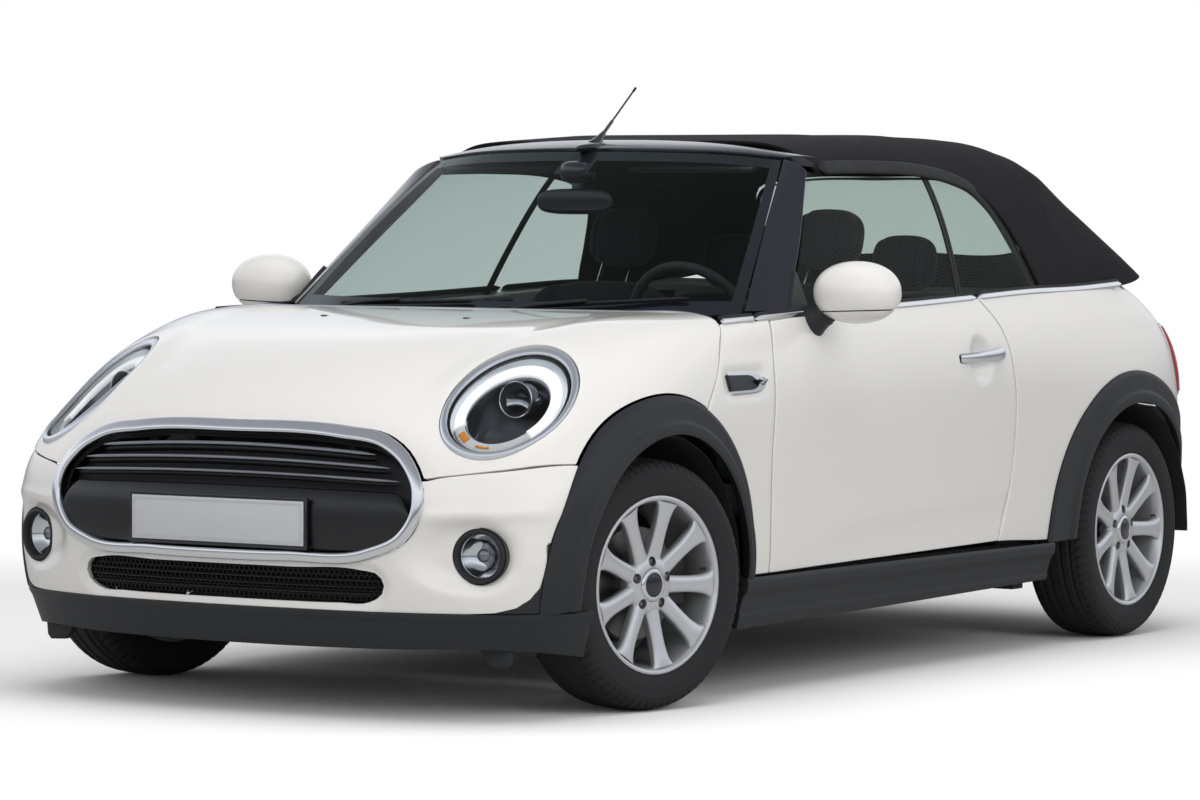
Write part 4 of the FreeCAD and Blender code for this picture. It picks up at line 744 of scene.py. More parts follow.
DOOR_REAR = [(318, -88), (461, -33), (543, -15), (652, 0), (772, -1), (846, -15), (919, -51), (976, -110)]
DOOR_FRONT_AT = -684
DOOR_REAR_AT = 613
HANDLE = np.array((834, 435, 819))


def mirrored(edge):
    return [(-x, y, z) for x, y, z in edge]


def across(edge):
    """An edge that ends on the middle plane, carried on to the other side."""
    return list(edge) + mirrored(edge[-2::-1])


def closed_outline(form, grow=0.0, count=96):
    """A smooth closed outline from its left half and its middle, in x and z, grown outwards."""
    half, middle = form
    whole = list(half) + [(-x, z) for x, z in half[::-1] if x > 0]
    wrapped = np.array(whole[-3:] + whole + whole[:4], float)
    reach = np.concatenate([[0], np.cumsum(np.linalg.norm(np.diff(wrapped, axis=0), axis=1))])
    lines = [Line(list(zip(reach, wrapped[:, axis]))) for axis in range(2)]
    part = np.linspace(reach[3], reach[3 + len(whole)], count, endpoint=False)
    spots = np.stack([line(part) for line in lines], axis=1)
    along = np.roll(spots, -1, axis=0) - np.roll(spots, 1, axis=0)
    out = unit(np.stack([-along[:, 1], along[:, 0]], axis=1))
    facing = np.sign(((spots - np.array(middle)) * out).sum(axis=1).mean())
    return spots + out * facing * grow


def ring_distance(outline, x, z):
    """How far places lie outside a closed outline, negative inside it."""
    spots = np.array(outline)
    place = np.stack([x, z], axis=1)
    start, run = spots, np.roll(spots, -1, axis=0) - spots
    gap = place[:, None, :] - start[None]
    part = np.clip((gap * run).sum(axis=2) / (run ** 2).sum(axis=1), 0, 1)
    near = np.linalg.norm(gap - run * part[..., None], axis=2).min(axis=1)
    z_low, z_high = start[:, 1], start[:, 1] + run[:, 1]
    crossing = (z_low[None] > z[:, None]) != (z_high[None] > z[:, None])
    share = (z[:, None] - z_low) / np.where(run[:, 1] == 0, 1e-9, run[:, 1])
    inside = (crossing & (x[:, None] < start[:, 0] + share * run[:, 0])).sum(axis=1) % 2 == 1
    return np.where(inside, -near, near)


def arch(table, place, grow=0.0, start=-35, end=215):
    """The outer outline of an arch's cladding, in y and z, closed below."""
    angles = np.radians(np.linspace(start, end, 84))
    reach = table(np.degrees(angles)) + grow
    spots = np.stack([place + np.cos(angles) * reach, ARCH_HEIGHT + np.sin(angles) * reach], axis=1)
    return [tuple(spot) for spot in spots]


def arch_plug(table, place, grow=ARCH_GAP):
    return both(prism(arch(table, place, grow), 560, 1000, axis=0))


def shut_line(table, base, shift):
    """A door's shut line, moved along its normal."""
    line = Line(table)
    z = np.linspace(table[0][0], table[-1][0], 25)
    lean = (line(z + 0.5) - line(z - 0.5)) * 1.0
    size = np.sqrt(1 + lean ** 2)
    return [(HALF_WIDTH, y, height) for y, height in zip(base + line(z) + shift / size, z - shift * lean / size)]


def scuttle_line(shift):
    return [(855, -1050 + shift, 650), (848, -996 + shift, 731), (838, -933 + shift, 813), (815, -893 + shift, 878),
            (790, -850 + shift, 930)]


def front_shut_line(rise):
    side = [(845, -1400, 590), (820, -1512, 611), (700, -1690, 600), (590, -1765, 586)]
    nose = [(x, -1780, z + max(rise, 0)) for x, z in GRILLE_TOP]
    return across([(x, y, z + rise) for x, y, z in side + nose])


def folded(points):
    """The same points on the car's left side."""
    return np.concatenate([np.abs(points[:, :1]), points[:, 1:]], axis=1)


def lamp_spots(reach, angle):
    """Points of the body at a lamp: reach is 1 at the outer edge of its ring."""
    wide, tall = np.cos(angle) * reach * LAMP_HALF[0], np.sin(angle) * reach * LAMP_HALF[1]
    cos, sin = math.cos(LAMP_TILT), math.sin(LAMP_TILT)
    flat = (LAMP_MIDDLE + LAMP_SIDE * (wide * cos - tall * sin)[:, None]
            + LAMP_UP * (wide * sin + tall * cos)[:, None])
    return cast(flat - LAMP_AXIS * 160, np.tile(LAMP_AXIS, (len(flat), 1)), outside)


LAMP_CENTRE = lamp_spots(np.zeros(1), np.zeros(1))[0]
LAMP_NORMAL = slope(LAMP_CENTRE[None], outside)[0]


def lamp_reach(points):
    """How far points lie from a lamp's middle along the body, 1 at its ring's outer edge."""
    edge = lamp_spots(np.ones(36), np.linspace(0, TURN, 36, endpoint=False)) - LAMP_CENTRE
    edge = edge - (edge @ LAMP_NORMAL)[:, None] * LAMP_NORMAL
    size, turned = np.linalg.svd(edge, full_matrices=False)[1:]
    half = size[:2] * math.sqrt(2 / 36)
    place = folded(points) - LAMP_CENTRE
    return np.linalg.norm(place @ turned[:2].T / half, axis=1)


def bonnet_shape(points):
    """Soft humps behind the lamps and a fold from each lamp to the windscreen."""
    reach = lamp_reach(points)
    x, y = np.abs(points[:, 0]), points[:, 1]
    hump = 7 * np.exp(-((reach - 1.03) / 0.3) ** 2) * ease(y, -1700, -1560)
    fold = 455 + (y + 1640) * 0.26
    ridge = (ease(x, fold - 70, fold) * (1 - ease(x, fold, fold + 130))
             * ease(y, -1700, -1450) * (1 - ease(y, -1150, -900)))
    rim = ring_distance(closed_outline(SURROUND), points[:, 0], points[:, 2])
    lip = 3.5 * np.exp(-(rim / 22) ** 2) * (y < -1500)
    return np.maximum(hump, 0) + 5 * ridge - lip


def bumper_shape(points):
    """Bowls round the fog lamps, a brow over them and rolled edges at the openings."""
    place = folded(points) - FOG_CENTRE
    aside = place[:, 0] * np.where(place[:, 0] < 0, 0.62, 1.2)
    bowl = np.sqrt((place[:, 2] * 1.15) ** 2 + aside ** 2)
    depth = -27 * (1 - ease(bowl, 50, 118)) * (points[:, 1] < -1300)
    x, z = np.abs(points[:, 0]), points[:, 2]
    brow_line = 494 + 0.03 * (x - 560)
    brow = 4 * np.exp(-((z - brow_line) / 16) ** 2) * ease(x, 520, 580) * (1 - ease(x, 730, 830))
    below = brow_line - z
    brow -= 3 * ease(below, 4, 30) * (1 - ease(below, 60, 120)) * ease(x, 500, 560) * (1 - ease(x, 760, 840))
    mouth = ring_distance(closed_outline(INTAKE), points[:, 0], z)
    roll = -12 * (1 - ease(mouth, 0, 26)) * (points[:, 1] < -1500)
    return depth + brow + roll


def door_shape(points):
    """The scoop under the handle and the soft crease low in the door."""
    y, z = points[:, 1], points[:, 2]
    scoop = np.sqrt(((y - HANDLE[1]) / 66) ** 2 + ((z - HANDLE[2] + 4) / 68) ** 2)
    low = 392 + (y - 500) * 0.045
    crease = -7 * ease(z, low - 75, low - 5) * (1 - ease(z, low, low + 70)) * ease(y, -560, -200)
    return -16 * (1 - ease(scoop, 0.45, 1)) + crease


def scuttle_shape(points):
    """The recess that sweeps up behind the side indicator."""
    y, z = points[:, 1], points[:, 2]
    middle = 786 + 0.00028 * (y + 820) ** 2
    length = ease(y, -925, -880) * (1 - ease(y, -740, -690))
    return -5 * length * (1 - ease(np.abs(z - middle), 16, 50))


def tail_shape(points):
    """A recess for the rear plate with a lip over it."""
    x, z = np.abs(points[:, 0]), points[:, 2]
    inside = (1 - ease(x, 280, 330)) * ease(z, 455, 480) * (1 - ease(z, 600, 622))
    return -10 * inside


def lid_shape(points):
    x, z = np.abs(points[:, 0]), points[:, 2]
    crease = 4 * np.exp(-((z - 905) / 14) ** 2) * (1 - ease(x, 520, 560))
    return crease - 3 * (1 - ease(x, 240, 300)) * ease(z, 790, 812) * (1 - ease(z, 850, 872))


def panel(low, high, left, right, columns, rows, thickness, anchor=spine, surface=outside, shape=None, stand=0.0,
          edge=2.2):
    spot = patch(low, high, left, right, anchor, surface, shape, stand)
    return eased(thick(skin(columns, rows, spot), thickness), edge)


def lamp_hole(reach):
    """A prism square to the body, to cut a lamp's opening."""
    def shape(u, v):
        points = lamp_spots(reach + 0 * u, u * TURN)
        return points + LAMP_NORMAL * (v * 200 - 120 - (points - LAMP_CENTRE) @ LAMP_NORMAL)[:, None]
    return both(capped(96, 1, shape))


def fog_hole(radius):
    return both(rod(FOG_CENTRE - FOG_AXIS * 120, FOG_CENTRE + FOG_AXIS * 60, radius, count=72))


def make_bonnet():
    side = [(845, -1400, 593.1), (860, -1230, 585), (855, -1053.1, 650)]
    back = scuttle_line(-HALF_GAP) + [(720, -838, 953), (500, -842, 957), (250, -850, 957), (0, -855, 957)]
    mesh = panel(front_shut_line(HALF_GAP), across(back), side, mirrored(side), 180, 80, 16, low_spine,
                 shape=bonnet_shape)
    hole = prism(closed_outline(SURROUND, 4), -2000, -1300)
    mesh = carved(mesh, arch_plug(*FRONT_ARCH, GAP), lamp_hole(1.004), hole)
    piece("bonnet_panel", mesh, "paint", "bonnet", body="bonnet_lid")


def bumper_foot(z):
    """The front bumper's lower edge, drawn at a height."""
    return across([(840, -1490, z), (800, -1590, z), (700, -1710, z), (400, -1800, z), (0, -1840, z)])


def make_front_bumper():
    side = [(840, -1490, 262), (850, -1440, 400), (850, -1400, 586.9)]
    mesh = panel(bumper_foot(262), front_shut_line(-HALF_GAP), side, mirrored(side), 220, 44, 14, shape=bumper_shape)
    mesh = carved(mesh, prism(closed_outline(SURROUND, 0.5), -2000, -1300),
                  prism(closed_outline(INTAKE, 0.5), -2000, -1300), fog_hole(66),
                  arch_plug(*FRONT_ARCH), corner_plug(0))
    piece("front_bumper_panel", mesh, "paint", "front_bumper")


def corner_plug(inset):
    """The lower corner of the bumper, which the dark skirt fills."""
    middle = np.array((860, 230))
    points = []
    for x, z in BUMPER_CORNER:
        run = middle - np.array((x, z))
        points.append(tuple(np.array((x, z)) + run / np.linalg.norm(run) * inset))
    return both(prism(points, -2100, -1200))


def make_scuttles():
    front = [(845, -900, 305), (850, -1000, 480)] + scuttle_line(HALF_GAP)
    back = shut_line(DOOR_FRONT, DOOR_FRONT_AT, -HALF_GAP)
    mesh = panel(None, None, front, back, 20, 70, 30, shape=scuttle_shape)
    mesh = carved(mesh, arch_plug(*FRONT_ARCH))
    piece("scuttle_panels", both(mesh), "paint", "scuttles")


def door_edges():
    front = shut_line(DOOR_FRONT, DOOR_FRONT_AT, 3.9)
    back = shut_line(DOOR_REAR, DOOR_REAR_AT, -HALF_GAP)
    return front, back, [front[-1], (790, -355, 947), (787, 76, 960), back[-1]]


def make_doors():
    front, back, top = door_edges()
    outer = panel(None, top, front, back, 110, 60, 26, shape=door_shape)
    card = panel(None, top, front, back, 60, 36, 22, shape=card_shape, stand=-38, edge=4)
    on_doors("door_panel", outer, "paint", "door")
    on_doors("door_card", card, "cabin_plastic")


def card_shape(points):
    """The armrest and pocket on a door's inner side push the trim inwards."""
    y, z = points[:, 1], points[:, 2]
    arm = ease(y, -420, -330) * (1 - ease(y, 360, 420)) * ease(z, 640, 690) * (1 - ease(z, 705, 735))
    return -18 * arm


def make_rear_quarters():
    front = shut_line(DOOR_REAR, DOOR_REAR_AT, HALF_GAP)
    low = [front[0], (846, 960, 312), (846, 1331, 400), (800, 1640, 640), (700, 1800, 648), (568, 1880, 650)]
    high = [front[-1], (775, 800, 990), (770, 1100, 996), (755, 1300, 1004), (700, 1480, 1004), (568, 1640, 985)]
    back = [(568, 1880, 650), (568, 1870, 760), (568, 1810, 880), (568, 1640, 985)]
    mesh = panel(low, high, front, back, 120, 60, 26)
    mesh = carved(mesh, prism(arch(*REAR_ARCH, ARCH_GAP), 560, 1000, axis=0))
    piece("rear_quarter_panels", both(mesh), "paint", "rear_quarters")


def make_tailgate():
    low = across([(563, 1880, 650), (300, 1910, 650), (0, 1930, 650)])
    high = across([(563, 1643, 984), (300, 1665, 985), (0, 1672, 985)])
    side = [(563, 1880, 650), (563, 1870, 760), (563, 1812, 880), (563, 1643, 984)]
    mesh = panel(low, high, side, mirrored(side), 120, 60, 22, shape=lid_shape)
    grip = block((-120, 1880, 806), (120, 1960, 838))
    piece("tailgate_panel", carved(mesh, grip), "paint", "tailgate", body="tailgate_lid")
    piece("tailgate_grip", eased(block((-118, 1862, 808), (118, 1884, 836)), 3), "gloss_black",
          body="tailgate_lid")


def make_rear_bumper():
    side = [(835, 1650, 262), (835, 1690, 450), (800, 1650, 634)]
    low = across([(835, 1650, 262), (700, 1800, 262), (400, 1880, 262), (0, 1905, 262)])
    high = across([(800, 1650, 634), (700, 1800, 642), (568, 1880, 644), (300, 1910, 644), (0, 1930, 644)])
    mesh = panel(low, high, side, mirrored(side), 180, 44, 16, shape=tail_shape)
    mesh = carved(mesh, arch_plug(*REAR_ARCH))
    piece("rear_bumper_panel", mesh, "paint", "rear_bumper")


# Claddings and skirts

def side_points(y, z):
    """Places on the car's side at given y and z."""
    aim = np.stack([0 * y + HALF_WIDTH, y, z], axis=1)
    for _ in range(14):
        found = land(aim)
        aim[:, 1:] += np.stack([y, z], axis=1) - found[:, 1:]
    return land(aim)


def arch_band(table, place, start, end):
    """A band round a wheel arch, with a raised inner lip."""
    def spot(u, v):
        angle = np.radians(start + (end - start) * u)
        outer = table(np.degrees(angle))
        reach = ARCH_RADIUS + (outer - ARCH_RADIUS) * v
        points = side_points(place + np.cos(angle) * reach, ARCH_HEIGHT + np.sin(angle) * reach)
        from_lip = reach - ARCH_RADIUS
        width = outer - ARCH_RADIUS
        stand = (9 + 5 * (1 - ease(from_lip, 26, 34)) - 3.5 * (1 - ease(from_lip, 0, 7))
                 - 5 * ease(from_lip, width - 12, width + 2))
        return points + slope(points, outside) * stand[:, None]
    return eased(thick(skin(110, 22, spot), 26), 1.6)


def sill_shape(points):
    z = points[:, 2]
    return 5 * ease(z, 262, 270) * (1 - ease(z, 290, 300)) - 4 * ease(z, 205, 215) * (1 - ease(z, 250, 262))


def make_claddings():
    sill_low = [(HALF_WIDTH, -806, 172), (HALF_WIDTH, 0, 182), (HALF_WIDTH, 840, 196)]
    sill_high = [(HALF_WIDTH, -806, 300.6), (HALF_WIDTH, 0, 300), (HALF_WIDTH, 840, 298)]
    sill = panel(sill_low, sill_high, [sill_low[0], sill_high[0]], [sill_low[-1], sill_high[-1]], 120, 26, 24,
                 shape=sill_shape, stand=9)
    bands = [arch_band(*FRONT_ARCH, -1, 186), arch_band(*REAR_ARCH, -6, 181)]
    cut = block((700, -FRONT_AXLE - 480, 351), (1000, -FRONT_AXLE - 300, 354))
    bands[0] = carved(bands[0], cut)
    piece("side_claddings", both(merged(sill, *bands)), "cladding", "claddings")


def skirt_shape(points):
    """A small step along the skirt's upper part."""
    return 3 * ease(points[:, 2], 240, 250)


def make_lower_skirts():
    side = [(825, -1480, 150), (840, -1480, 261.7)]
    low = across([(825, -1480, 150), (780, -1580, 165), (690, -1680, 175), (400, -1770, 172), (0, -1800, 170)])
    high = across([(840, -1480, 261.7), (800, -1590, 261.7), (700, -1710, 261.7), (400, -1800, 261.7),
                   (0, -1840, 261.7)])
    front = panel(low, high, side, mirrored(side), 150, 16, 20, shape=skirt_shape, stand=1.5)
    side = [(800, 1690, 180), (830, 1660, 261.7)]
    low = across([(800, 1690, 180), (600, 1790, 200), (0, 1850, 205)])
    high = across([(830, 1660, 261.7), (600, 1840, 261.7), (0, 1900, 261.7)])
    back = panel(low, high, side, mirrored(side), 120, 14, 20, stand=1)
    side = [(840, -1490, 262.5), (850, -1440, 400), (850, -1400, 500)]
    high = across([(850, -1400, 500), (700, -1690, 500), (0, -1800, 500)])
    corner = panel(bumper_foot(262.5), high, side, mirrored(side), 200, 40, 18, stand=1)
    corner = kept(corner, corner_plug(3))
    corner = carved(corner, arch_plug(*FRONT_ARCH))
    deflector = [(600, 196), (630, 142), (642, 132), (690, 130), (700, 142), (706, 200)]
    fin = eased(both(prism(deflector, -1640, -1622)), 4)
    piece("lower_skirt_panels", merged(front, back, corner, fin), "cladding", "lower_skirts")


# Grille, plates and lamps

NOSE_REACH = 620
PLATE_HALF_WIDTH, PLATE_HALF_HEIGHT = 257, 53
UP_AXIS = (0, 0, 1)
PROJECTOR = Vector((597, -1466, 757))
DAY_START, DAY_END = -75, 175


def nose_points(x, z):
    """Places on the nose surface at given x and z."""
    start = np.stack([0 * x, 0 * x - 1215, z], axis=1)
    aim = np.stack([x, 0 * x - 1700 - 150 * (1 - (np.abs(x) / NOSE_REACH) ** 1.6), z], axis=1)
    for _ in range(12):
        found = land(aim)
        aim[:, 0] += x - found[:, 0]
    return land(aim)


def band_on_nose(form, stand, inner, outer, turns=240):
    """A rounded band along a closed outline on the nose, from inner to outer millimetres off it."""
    spots = closed_outline(form, 0, turns)
    out = closed_outline(form, 1, turns) - spots
    section = stand(np.linspace(0, 1, 25))

    def shape(u, v):
        column = np.round(u * turns).astype(int) % turns
        row = np.round(v * 24).astype(int)
        across_part, lift = section[0][row], section[1][row]
        place = spots[column] + out[column] * (outer + (inner - outer) * across_part)[:, None]
        points = nose_points(place[:, 0], place[:, 1])
        return points + slope(points, outside) * lift[:, None]
    return closed(sheet(turns, 24, shape))


def crowned_section(height, depth, lip=0.12):
    """A band's section: flat inside, crowned outside."""
    def section(part):
        angle = part * TURN
        rise = np.abs(np.sin(angle))
        lift = np.where(np.sin(angle) >= 0, height * rise ** 0.55, -depth * rise ** 0.3)
        return 0.5 - 0.5 * squared(np.cos(angle), 1 - lip * 3), lift
    return section


def blade(z, half, height, stand, thickness, drop=0.0, rows=12):
    """A bar across the nose with pointed, swept ends."""
    def shape(u, v):
        x = (u * 2 - 1) * half
        angle = v * TURN
        taper = np.clip((1 - np.abs(u * 2 - 1)) / 0.1, 0, 1) ** 0.6
        tall = np.sin(angle) * height / 2 * (0.12 + 0.88 * taper)
        level = z - drop * (x / half) ** 2 + tall
        points = nose_points(x, level)
        lift = stand - thickness / 2 + np.cos(angle) * thickness / 2 * (0.3 + 0.7 * taper)
        return points + slope(points, outside) * lift[:, None]
    return capped(90, rows * 2, shape)


def make_grille():
    ring = band_on_nose(SURROUND, crowned_section(13, 26), -27, 0)
    piece("grille_surround_ring", ring, "chrome", "grille_surround", sharp=60)
    back = panel_on_nose(SURROUND, -20, -46, 8)
    piece("grille_back", back, "honeycomb_black", "grilles")
    slats = merged(*[blade(z, half, 12, -9, 20, drop) for z, half, drop in
                     ((646, 412, 16), (613, 458, 14), (580, 488, 12))])
    piece("grille_blades", slats, "housing", "grille_bars", sharp=60)
    edges = merged(*[blade(z, half, 8.5, 0.5, 12, drop, 6) for z, half, drop in
                     ((651, 410, 16), (618, 458, 14), (585, 488, 12))])
    piece("grille_blade_edges", edges, "dark_chrome", sharp=60)
    lid = wide_bar()
    piece("grille_wide_bar", lid, "bar_black", sharp=60)
    mouth = panel_on_nose(INTAKE, 2, -40, 6)
    piece("intake_back", mouth, "honeycomb_black")
    bars = merged(*[blade(z, 446, 5, -14, 12) for z in (300, 316, 332)])
    piece("intake_bars", merged(bars, honeycomb()), "honeycomb_black", sharp=50)


def panel_on_nose(form, grow, stand, thickness):
    """A closed sheet inside an outline, behind the nose surface."""
    spots, middle = closed_outline(form, grow, 160), np.array(form[1])

    def shape(u, v):
        column = np.round(u * 160).astype(int) % 160
        place = middle + (spots[column] - middle) * v[:, None]
        points = nose_points(place[:, 0], place[:, 1])
        return points + slope(points, outside) * stand
    mesh = closed(sheet(160, 10, shape), 0.3)
    mesh.normal_update()
    turned_out(mesh, (0, 0, 500))
    return thick(mesh, thickness)


def wide_bar():
    """The thick gloss bar behind the number plate, crowned along its upper edge."""
    def shape(u, v):
        x = (u * 2 - 1) * 524
        angle = v * TURN
        bow = (x / 524) ** 2
        top = 556 - 8 * bow - 60 * np.clip((np.abs(x) - 470) / 54, 0, 1) ** 2
        bottom = 401 + 4 * bow + 62 * np.clip((np.abs(x) - 430) / 94, 0, 1) ** 2
        level = (top + bottom) / 2 + squared(np.sin(angle), 0.5) * (top - bottom) / 2
        points = nose_points(x, level)
        lift = -14 + squared(np.cos(angle), 0.6) * 13
        lift = lift - 6 * ease(level, 500, 560) * (np.cos(angle) > 0)
        return points + slope(points, outside) * lift[:, None]
    return capped(110, 48, shape)


def honeycomb():
    """The lower intake's mesh of hexagons, as short open tubes."""
    cell = 8.2
    outline = closed_outline(INTAKE, -3)
    centres = []
    for row in range(-5, 6):
        for column in range(-34, 35):
            centres.append((column * cell * 1.732 + (row % 2) * cell * 0.866, INTAKE[1][1] + row * cell * 1.5))
    centres = np.array(centres)
    centres = centres[ring_distance(outline, centres[:, 0], centres[:, 1]) < -2]
    mesh = bmesh.new()
    for x, z in centres:
        bmesh.ops.create_circle(mesh, segments=6, radius=cell - 1.1,
                                matrix=Matrix.Translation((x, 0, z)) @ Matrix.Rotation(math.pi / 2, 4, "X"))
    edges = list(mesh.edges)
    made = bmesh.ops.extrude_edge_only(mesh, edges=edges)
    bmesh.ops.translate(mesh, verts=new_corners(made), vec=(0, 7, 0))
    flat = np.array([vertex.co for vertex in mesh.verts])
    base = nose_points(flat[:, 0], flat[:, 2])
    for vertex, spot, depth in zip(mesh.verts, base, flat[:, 1]):
        vertex.co = (spot[0], spot[1] + 24 + depth, spot[2])
    bmesh.ops.recalc_face_normals(mesh, faces=mesh.faces)
    return thick(mesh, 1.4, 0)


def plate(z, face, sign):
    """A blank number plate in its frame. The sign is -1 in front and 1 behind."""
    def board(inset, low, high):
        return block((inset - PLATE_HALF_WIDTH, low, z + inset - PLATE_HALF_HEIGHT),
                     (PLATE_HALF_WIDTH - inset, high, z + PLATE_HALF_HEIGHT - inset))
    rims = [carved(board(inset, face - 3, face + 3), board(inset + wide, face - 5, face + 5))
            for inset, wide in ((5, 1.2), (8.5, 0.8))]
    low, high = sorted((face, face - sign * 6))
    holder = carved(board(-9, low - 2, high + 2), board(0, face - 8, face + 8))
    frame_mesh = eased(merged(holder, board(-7, low + 3, high - 3)), 1.5)
    return merged(eased(board(0, face - 2, face + 2), 1.2), *rims), frame_mesh


def make_plates():
    front, front_frame = plate(467, -1857, -1)
    back, back_frame = plate(535, 1936, 1)
    piece("number_plate_faces", merged(front, back), "plate_face", "number_plates")
    piece("number_plate_frames", merged(front_frame, back_frame), "gloss_black")


def lamp_frame(centre, axis):
    """Local X runs away from the car's middle, Y upwards and Z out of the lamp."""
    axis = Vector(axis)
    side = Vector((0, 0, 1)).cross(axis).normalized() * -1
    if side.x < 0:
        side = -side
    up = axis.cross(side) if axis.cross(side).z > 0 else side.cross(axis)
    return Matrix.Translation(centre) @ Matrix((side, up, axis)).transposed().to_4x4()


def lamp_band(low, high, top, bottom, start=0, end=360, turns=140, power=0.6):
    """A closed band of a lamp that follows the body, between two reaches and two heights."""
    def shape(u, v):
        angle, turn = np.radians(start + (end - start) * u), v * TURN
        reach = (low + high) / 2 + np.cos(turn) * (high - low) / 2
        rise = squared(np.sin(turn), power)
        lift = (top + bottom) / 2 + rise * (top - bottom) / 2
        return lamp_spots(reach, angle) + LAMP_NORMAL * lift[:, None]
    return capped(turns, 20, shape)


def lamp_bowl(profile, turns=110):
    """A turned form of a lamp that follows the body: profile gives reach and height."""
    table = np.array(profile, float)

    def shape(u, v):
        row = np.round(v * (len(table) - 1)).astype(int)
        return lamp_spots(table[row, 0], u * TURN) + LAMP_NORMAL * table[row, 1][:, None]
    return closed(sheet(turns, len(table) - 1, shape))


def turned_parts(place, *rows):
    """Turned pieces of a lamp, on both sides of the car."""
    for name, profile, count, *look in rows:
        mesh = lathe(profile, count, UP_AXIS)
        mesh.transform(place)
        piece(name, both(mesh), *look)


def make_headlamps():
    piece("headlamp_trim_rings", both(lamp_band(0.878, 0.998, 9, -26)), "satin_chrome", "headlamp_rings", 60,
          "bonnet_lid")
    bowl = lamp_bowl([(0, -116), (0.3, -112), (0.44, -100), (0.53, -78), (0.565, -50), (0.59, -27), (0.62, -26),
                      (0.62, -32), (0.6, -36), (0.575, -60), (0.53, -92), (0.44, -112), (0.3, -122), (0, -126)])
    bezel = lamp_bowl([(0.6, -27), (0.765, -25), (0.8, -14), (0.835, -6), (0.845, -8), (0.845, -16), (0.8, -30),
                       (0.765, -34), (0.6, -34), (0.6, -27)])
    guide = lamp_band(0.61, 0.765, -16, -27, DAY_END + 1, DAY_START + 359, 60)
    blink = merged(lamp_band(0.64, 0.74, -13, -20, DAY_END + 12, DAY_END + 28, 20),
                   lamp_band(0.68, 0.72, -14, -19, DAY_END + 44, DAY_END + 62, 20))
    line = merged(lamp_band(0.43, 0.45, -92, -97, DAY_END - 30, DAY_END + 90, 60),
                  lamp_band(0.573, 0.592, -24, -30, DAY_END - 10, DAY_END + 150, 80))
    dome = lamp_bowl([(0, 20), (0.2, 19.3), (0.4, 17), (0.58, 13), (0.72, 8.5), (0.81, 4), (0.838, 0),
                      (0.838, -5), (0.815, -1), (0.72, 4.5), (0.58, 9.5), (0.4, 13.6), (0.2, 16), (0, 16.6)])
    for name, mesh, *look in (
            ("headlamp_seals", lamp_band(0.842, 0.874, -1, -40), "seal_rubber"),
            ("headlamp_bowls", bowl, "dark_chrome", "headlamps", 50),
            ("headlamp_bezels", bezel, "satin_chrome", None, 50),
            ("daytime_rings", lamp_band(0.6, 0.775, -11, -26, DAY_START, DAY_END), "day_white", None, 60),
            ("lower_light_guides", guide, "plate_face", None, 60), ("front_indicators", blink, "amber", None, 60),
            ("headlamp_fins", line, "chrome", None, 60),
            ("headlamp_reflectors", lamp_band(0.3, 0.545, -46, -66, 12, 84, 40, 1.0), "chrome", None, 60),
            ("headlamp_lenses", dome, "lamp_lens", None, 70)):
        piece(name, both(mesh), *look)
    turned_parts(
        lamp_frame(PROJECTOR, (0.12, -0.99, 0.02)),
        ("projector_collars", [(-44, 42), (-6, 43), (0, 44.5), (3, 43), (2, 41), (-6, 40), (-44, 40)], 72,
         "chrome", None, 50),
        ("projector_shrouds", [(-44, 39.6), (-1, 39.8), (-2, 37), (-12, 31), (-15, 28), (-30, 26), (-44, 26)], 72,
         "housing", None, 50),
        ("projector_lenses", [(-34, 0), (-34, 27), (-16, 27.5), (-9, 25), (-3, 19), (0, 11), (1, 0)], 72,
         "lamp_lens", None, 60),
        ("projector_pupils", [(-42, 0), (-42, 27), (-32, 27), (-24, 20), (-20, 10), (-19, 0)], 48, "gloss_black"))


def make_fog_lamps():
    turned_parts(
        lamp_frame(FOG_CENTRE, FOG_AXIS),
        ("fog_lamp_rims", [(-40, 65.6), (-15, 65.6), (-8, 63), (-6, 58), (-9, 54), (-17, 52), (-26, 52), (-40, 54)],
         72, "cladding", "fog_lamps", 50),
        ("fog_lamp_bowls", [(-62, 0), (-60, 24), (-50, 44), (-30, 52.5), (-32, 50), (-48, 40), (-56, 22), (-58, 0)],
         72, "chrome", None, 50),
        ("fog_lamp_bulbs", [(-56, 0), (-56, 17), (-40, 16), (-36, 11), (-35, 0)], 40, "dark_chrome"),
        ("fog_lamp_covers", [(-24, 52.3), (-19, 50), (-14, 40), (-11, 24), (-10, 0), (-13, 0), (-14, 24),
                             (-17, 40), (-22, 48)], 72, "lamp_lens", None, 70),
        ("fog_lamp_sleeves", [(-70, 60), (-40, 66.5), (-12, 68), (-12, 66.2), (-40, 64.5), (-70, 58)], 72,
         "housing"))


# Glass, pillars and the folding top

SCREEN_LOW = [(700, -600, 948), (500, -690, 944), (250, -745, 940), (0, -765, 938)]
SCREEN_HIGH = [(545, -140, 1346), (400, -190, 1360), (200, -232, 1367), (0, -246, 1369)]
PILLAR_FRONT = [(705, -585, 958), (628, -372, 1150), (549, -137, 1347)]
PILLAR_BACK = [(774, -490, 958), (704, -312, 1136), (624, -146, 1316)]
HEADER_FRONT = [(549, -128, 1352), (400, -183, 1366), (200, -224, 1373), (0, -239, 1375)]
HEADER_BACK = [(600, -60, 1352), (400, -92, 1384), (200, -112, 1396), (0, -120, 1399)]
COWL_FRONT = [(700, -784, 925), (400, -828, 935), (0, -840, 938)]
COWL_BACK = [(700, -612, 925), (400, -722, 925), (0, -775, 925)]
PILLAR_REAR = [(-533, 908), (-450, 1000), (-306, 1136), (-180, 1270), (-135, 1316)]
WINDOW_SPLIT = [(407, 925), (470, 1130), (518, 1318)]
QUARTER_REAR = [(912, 952), (852, 1122), (797, 1234), (728, 1296)]
ROOF_FRONT = [(622, -52, 1334), (600, -54, 1354), (400, -86, 1386), (200, -106, 1399), (0, -114, 1402)]
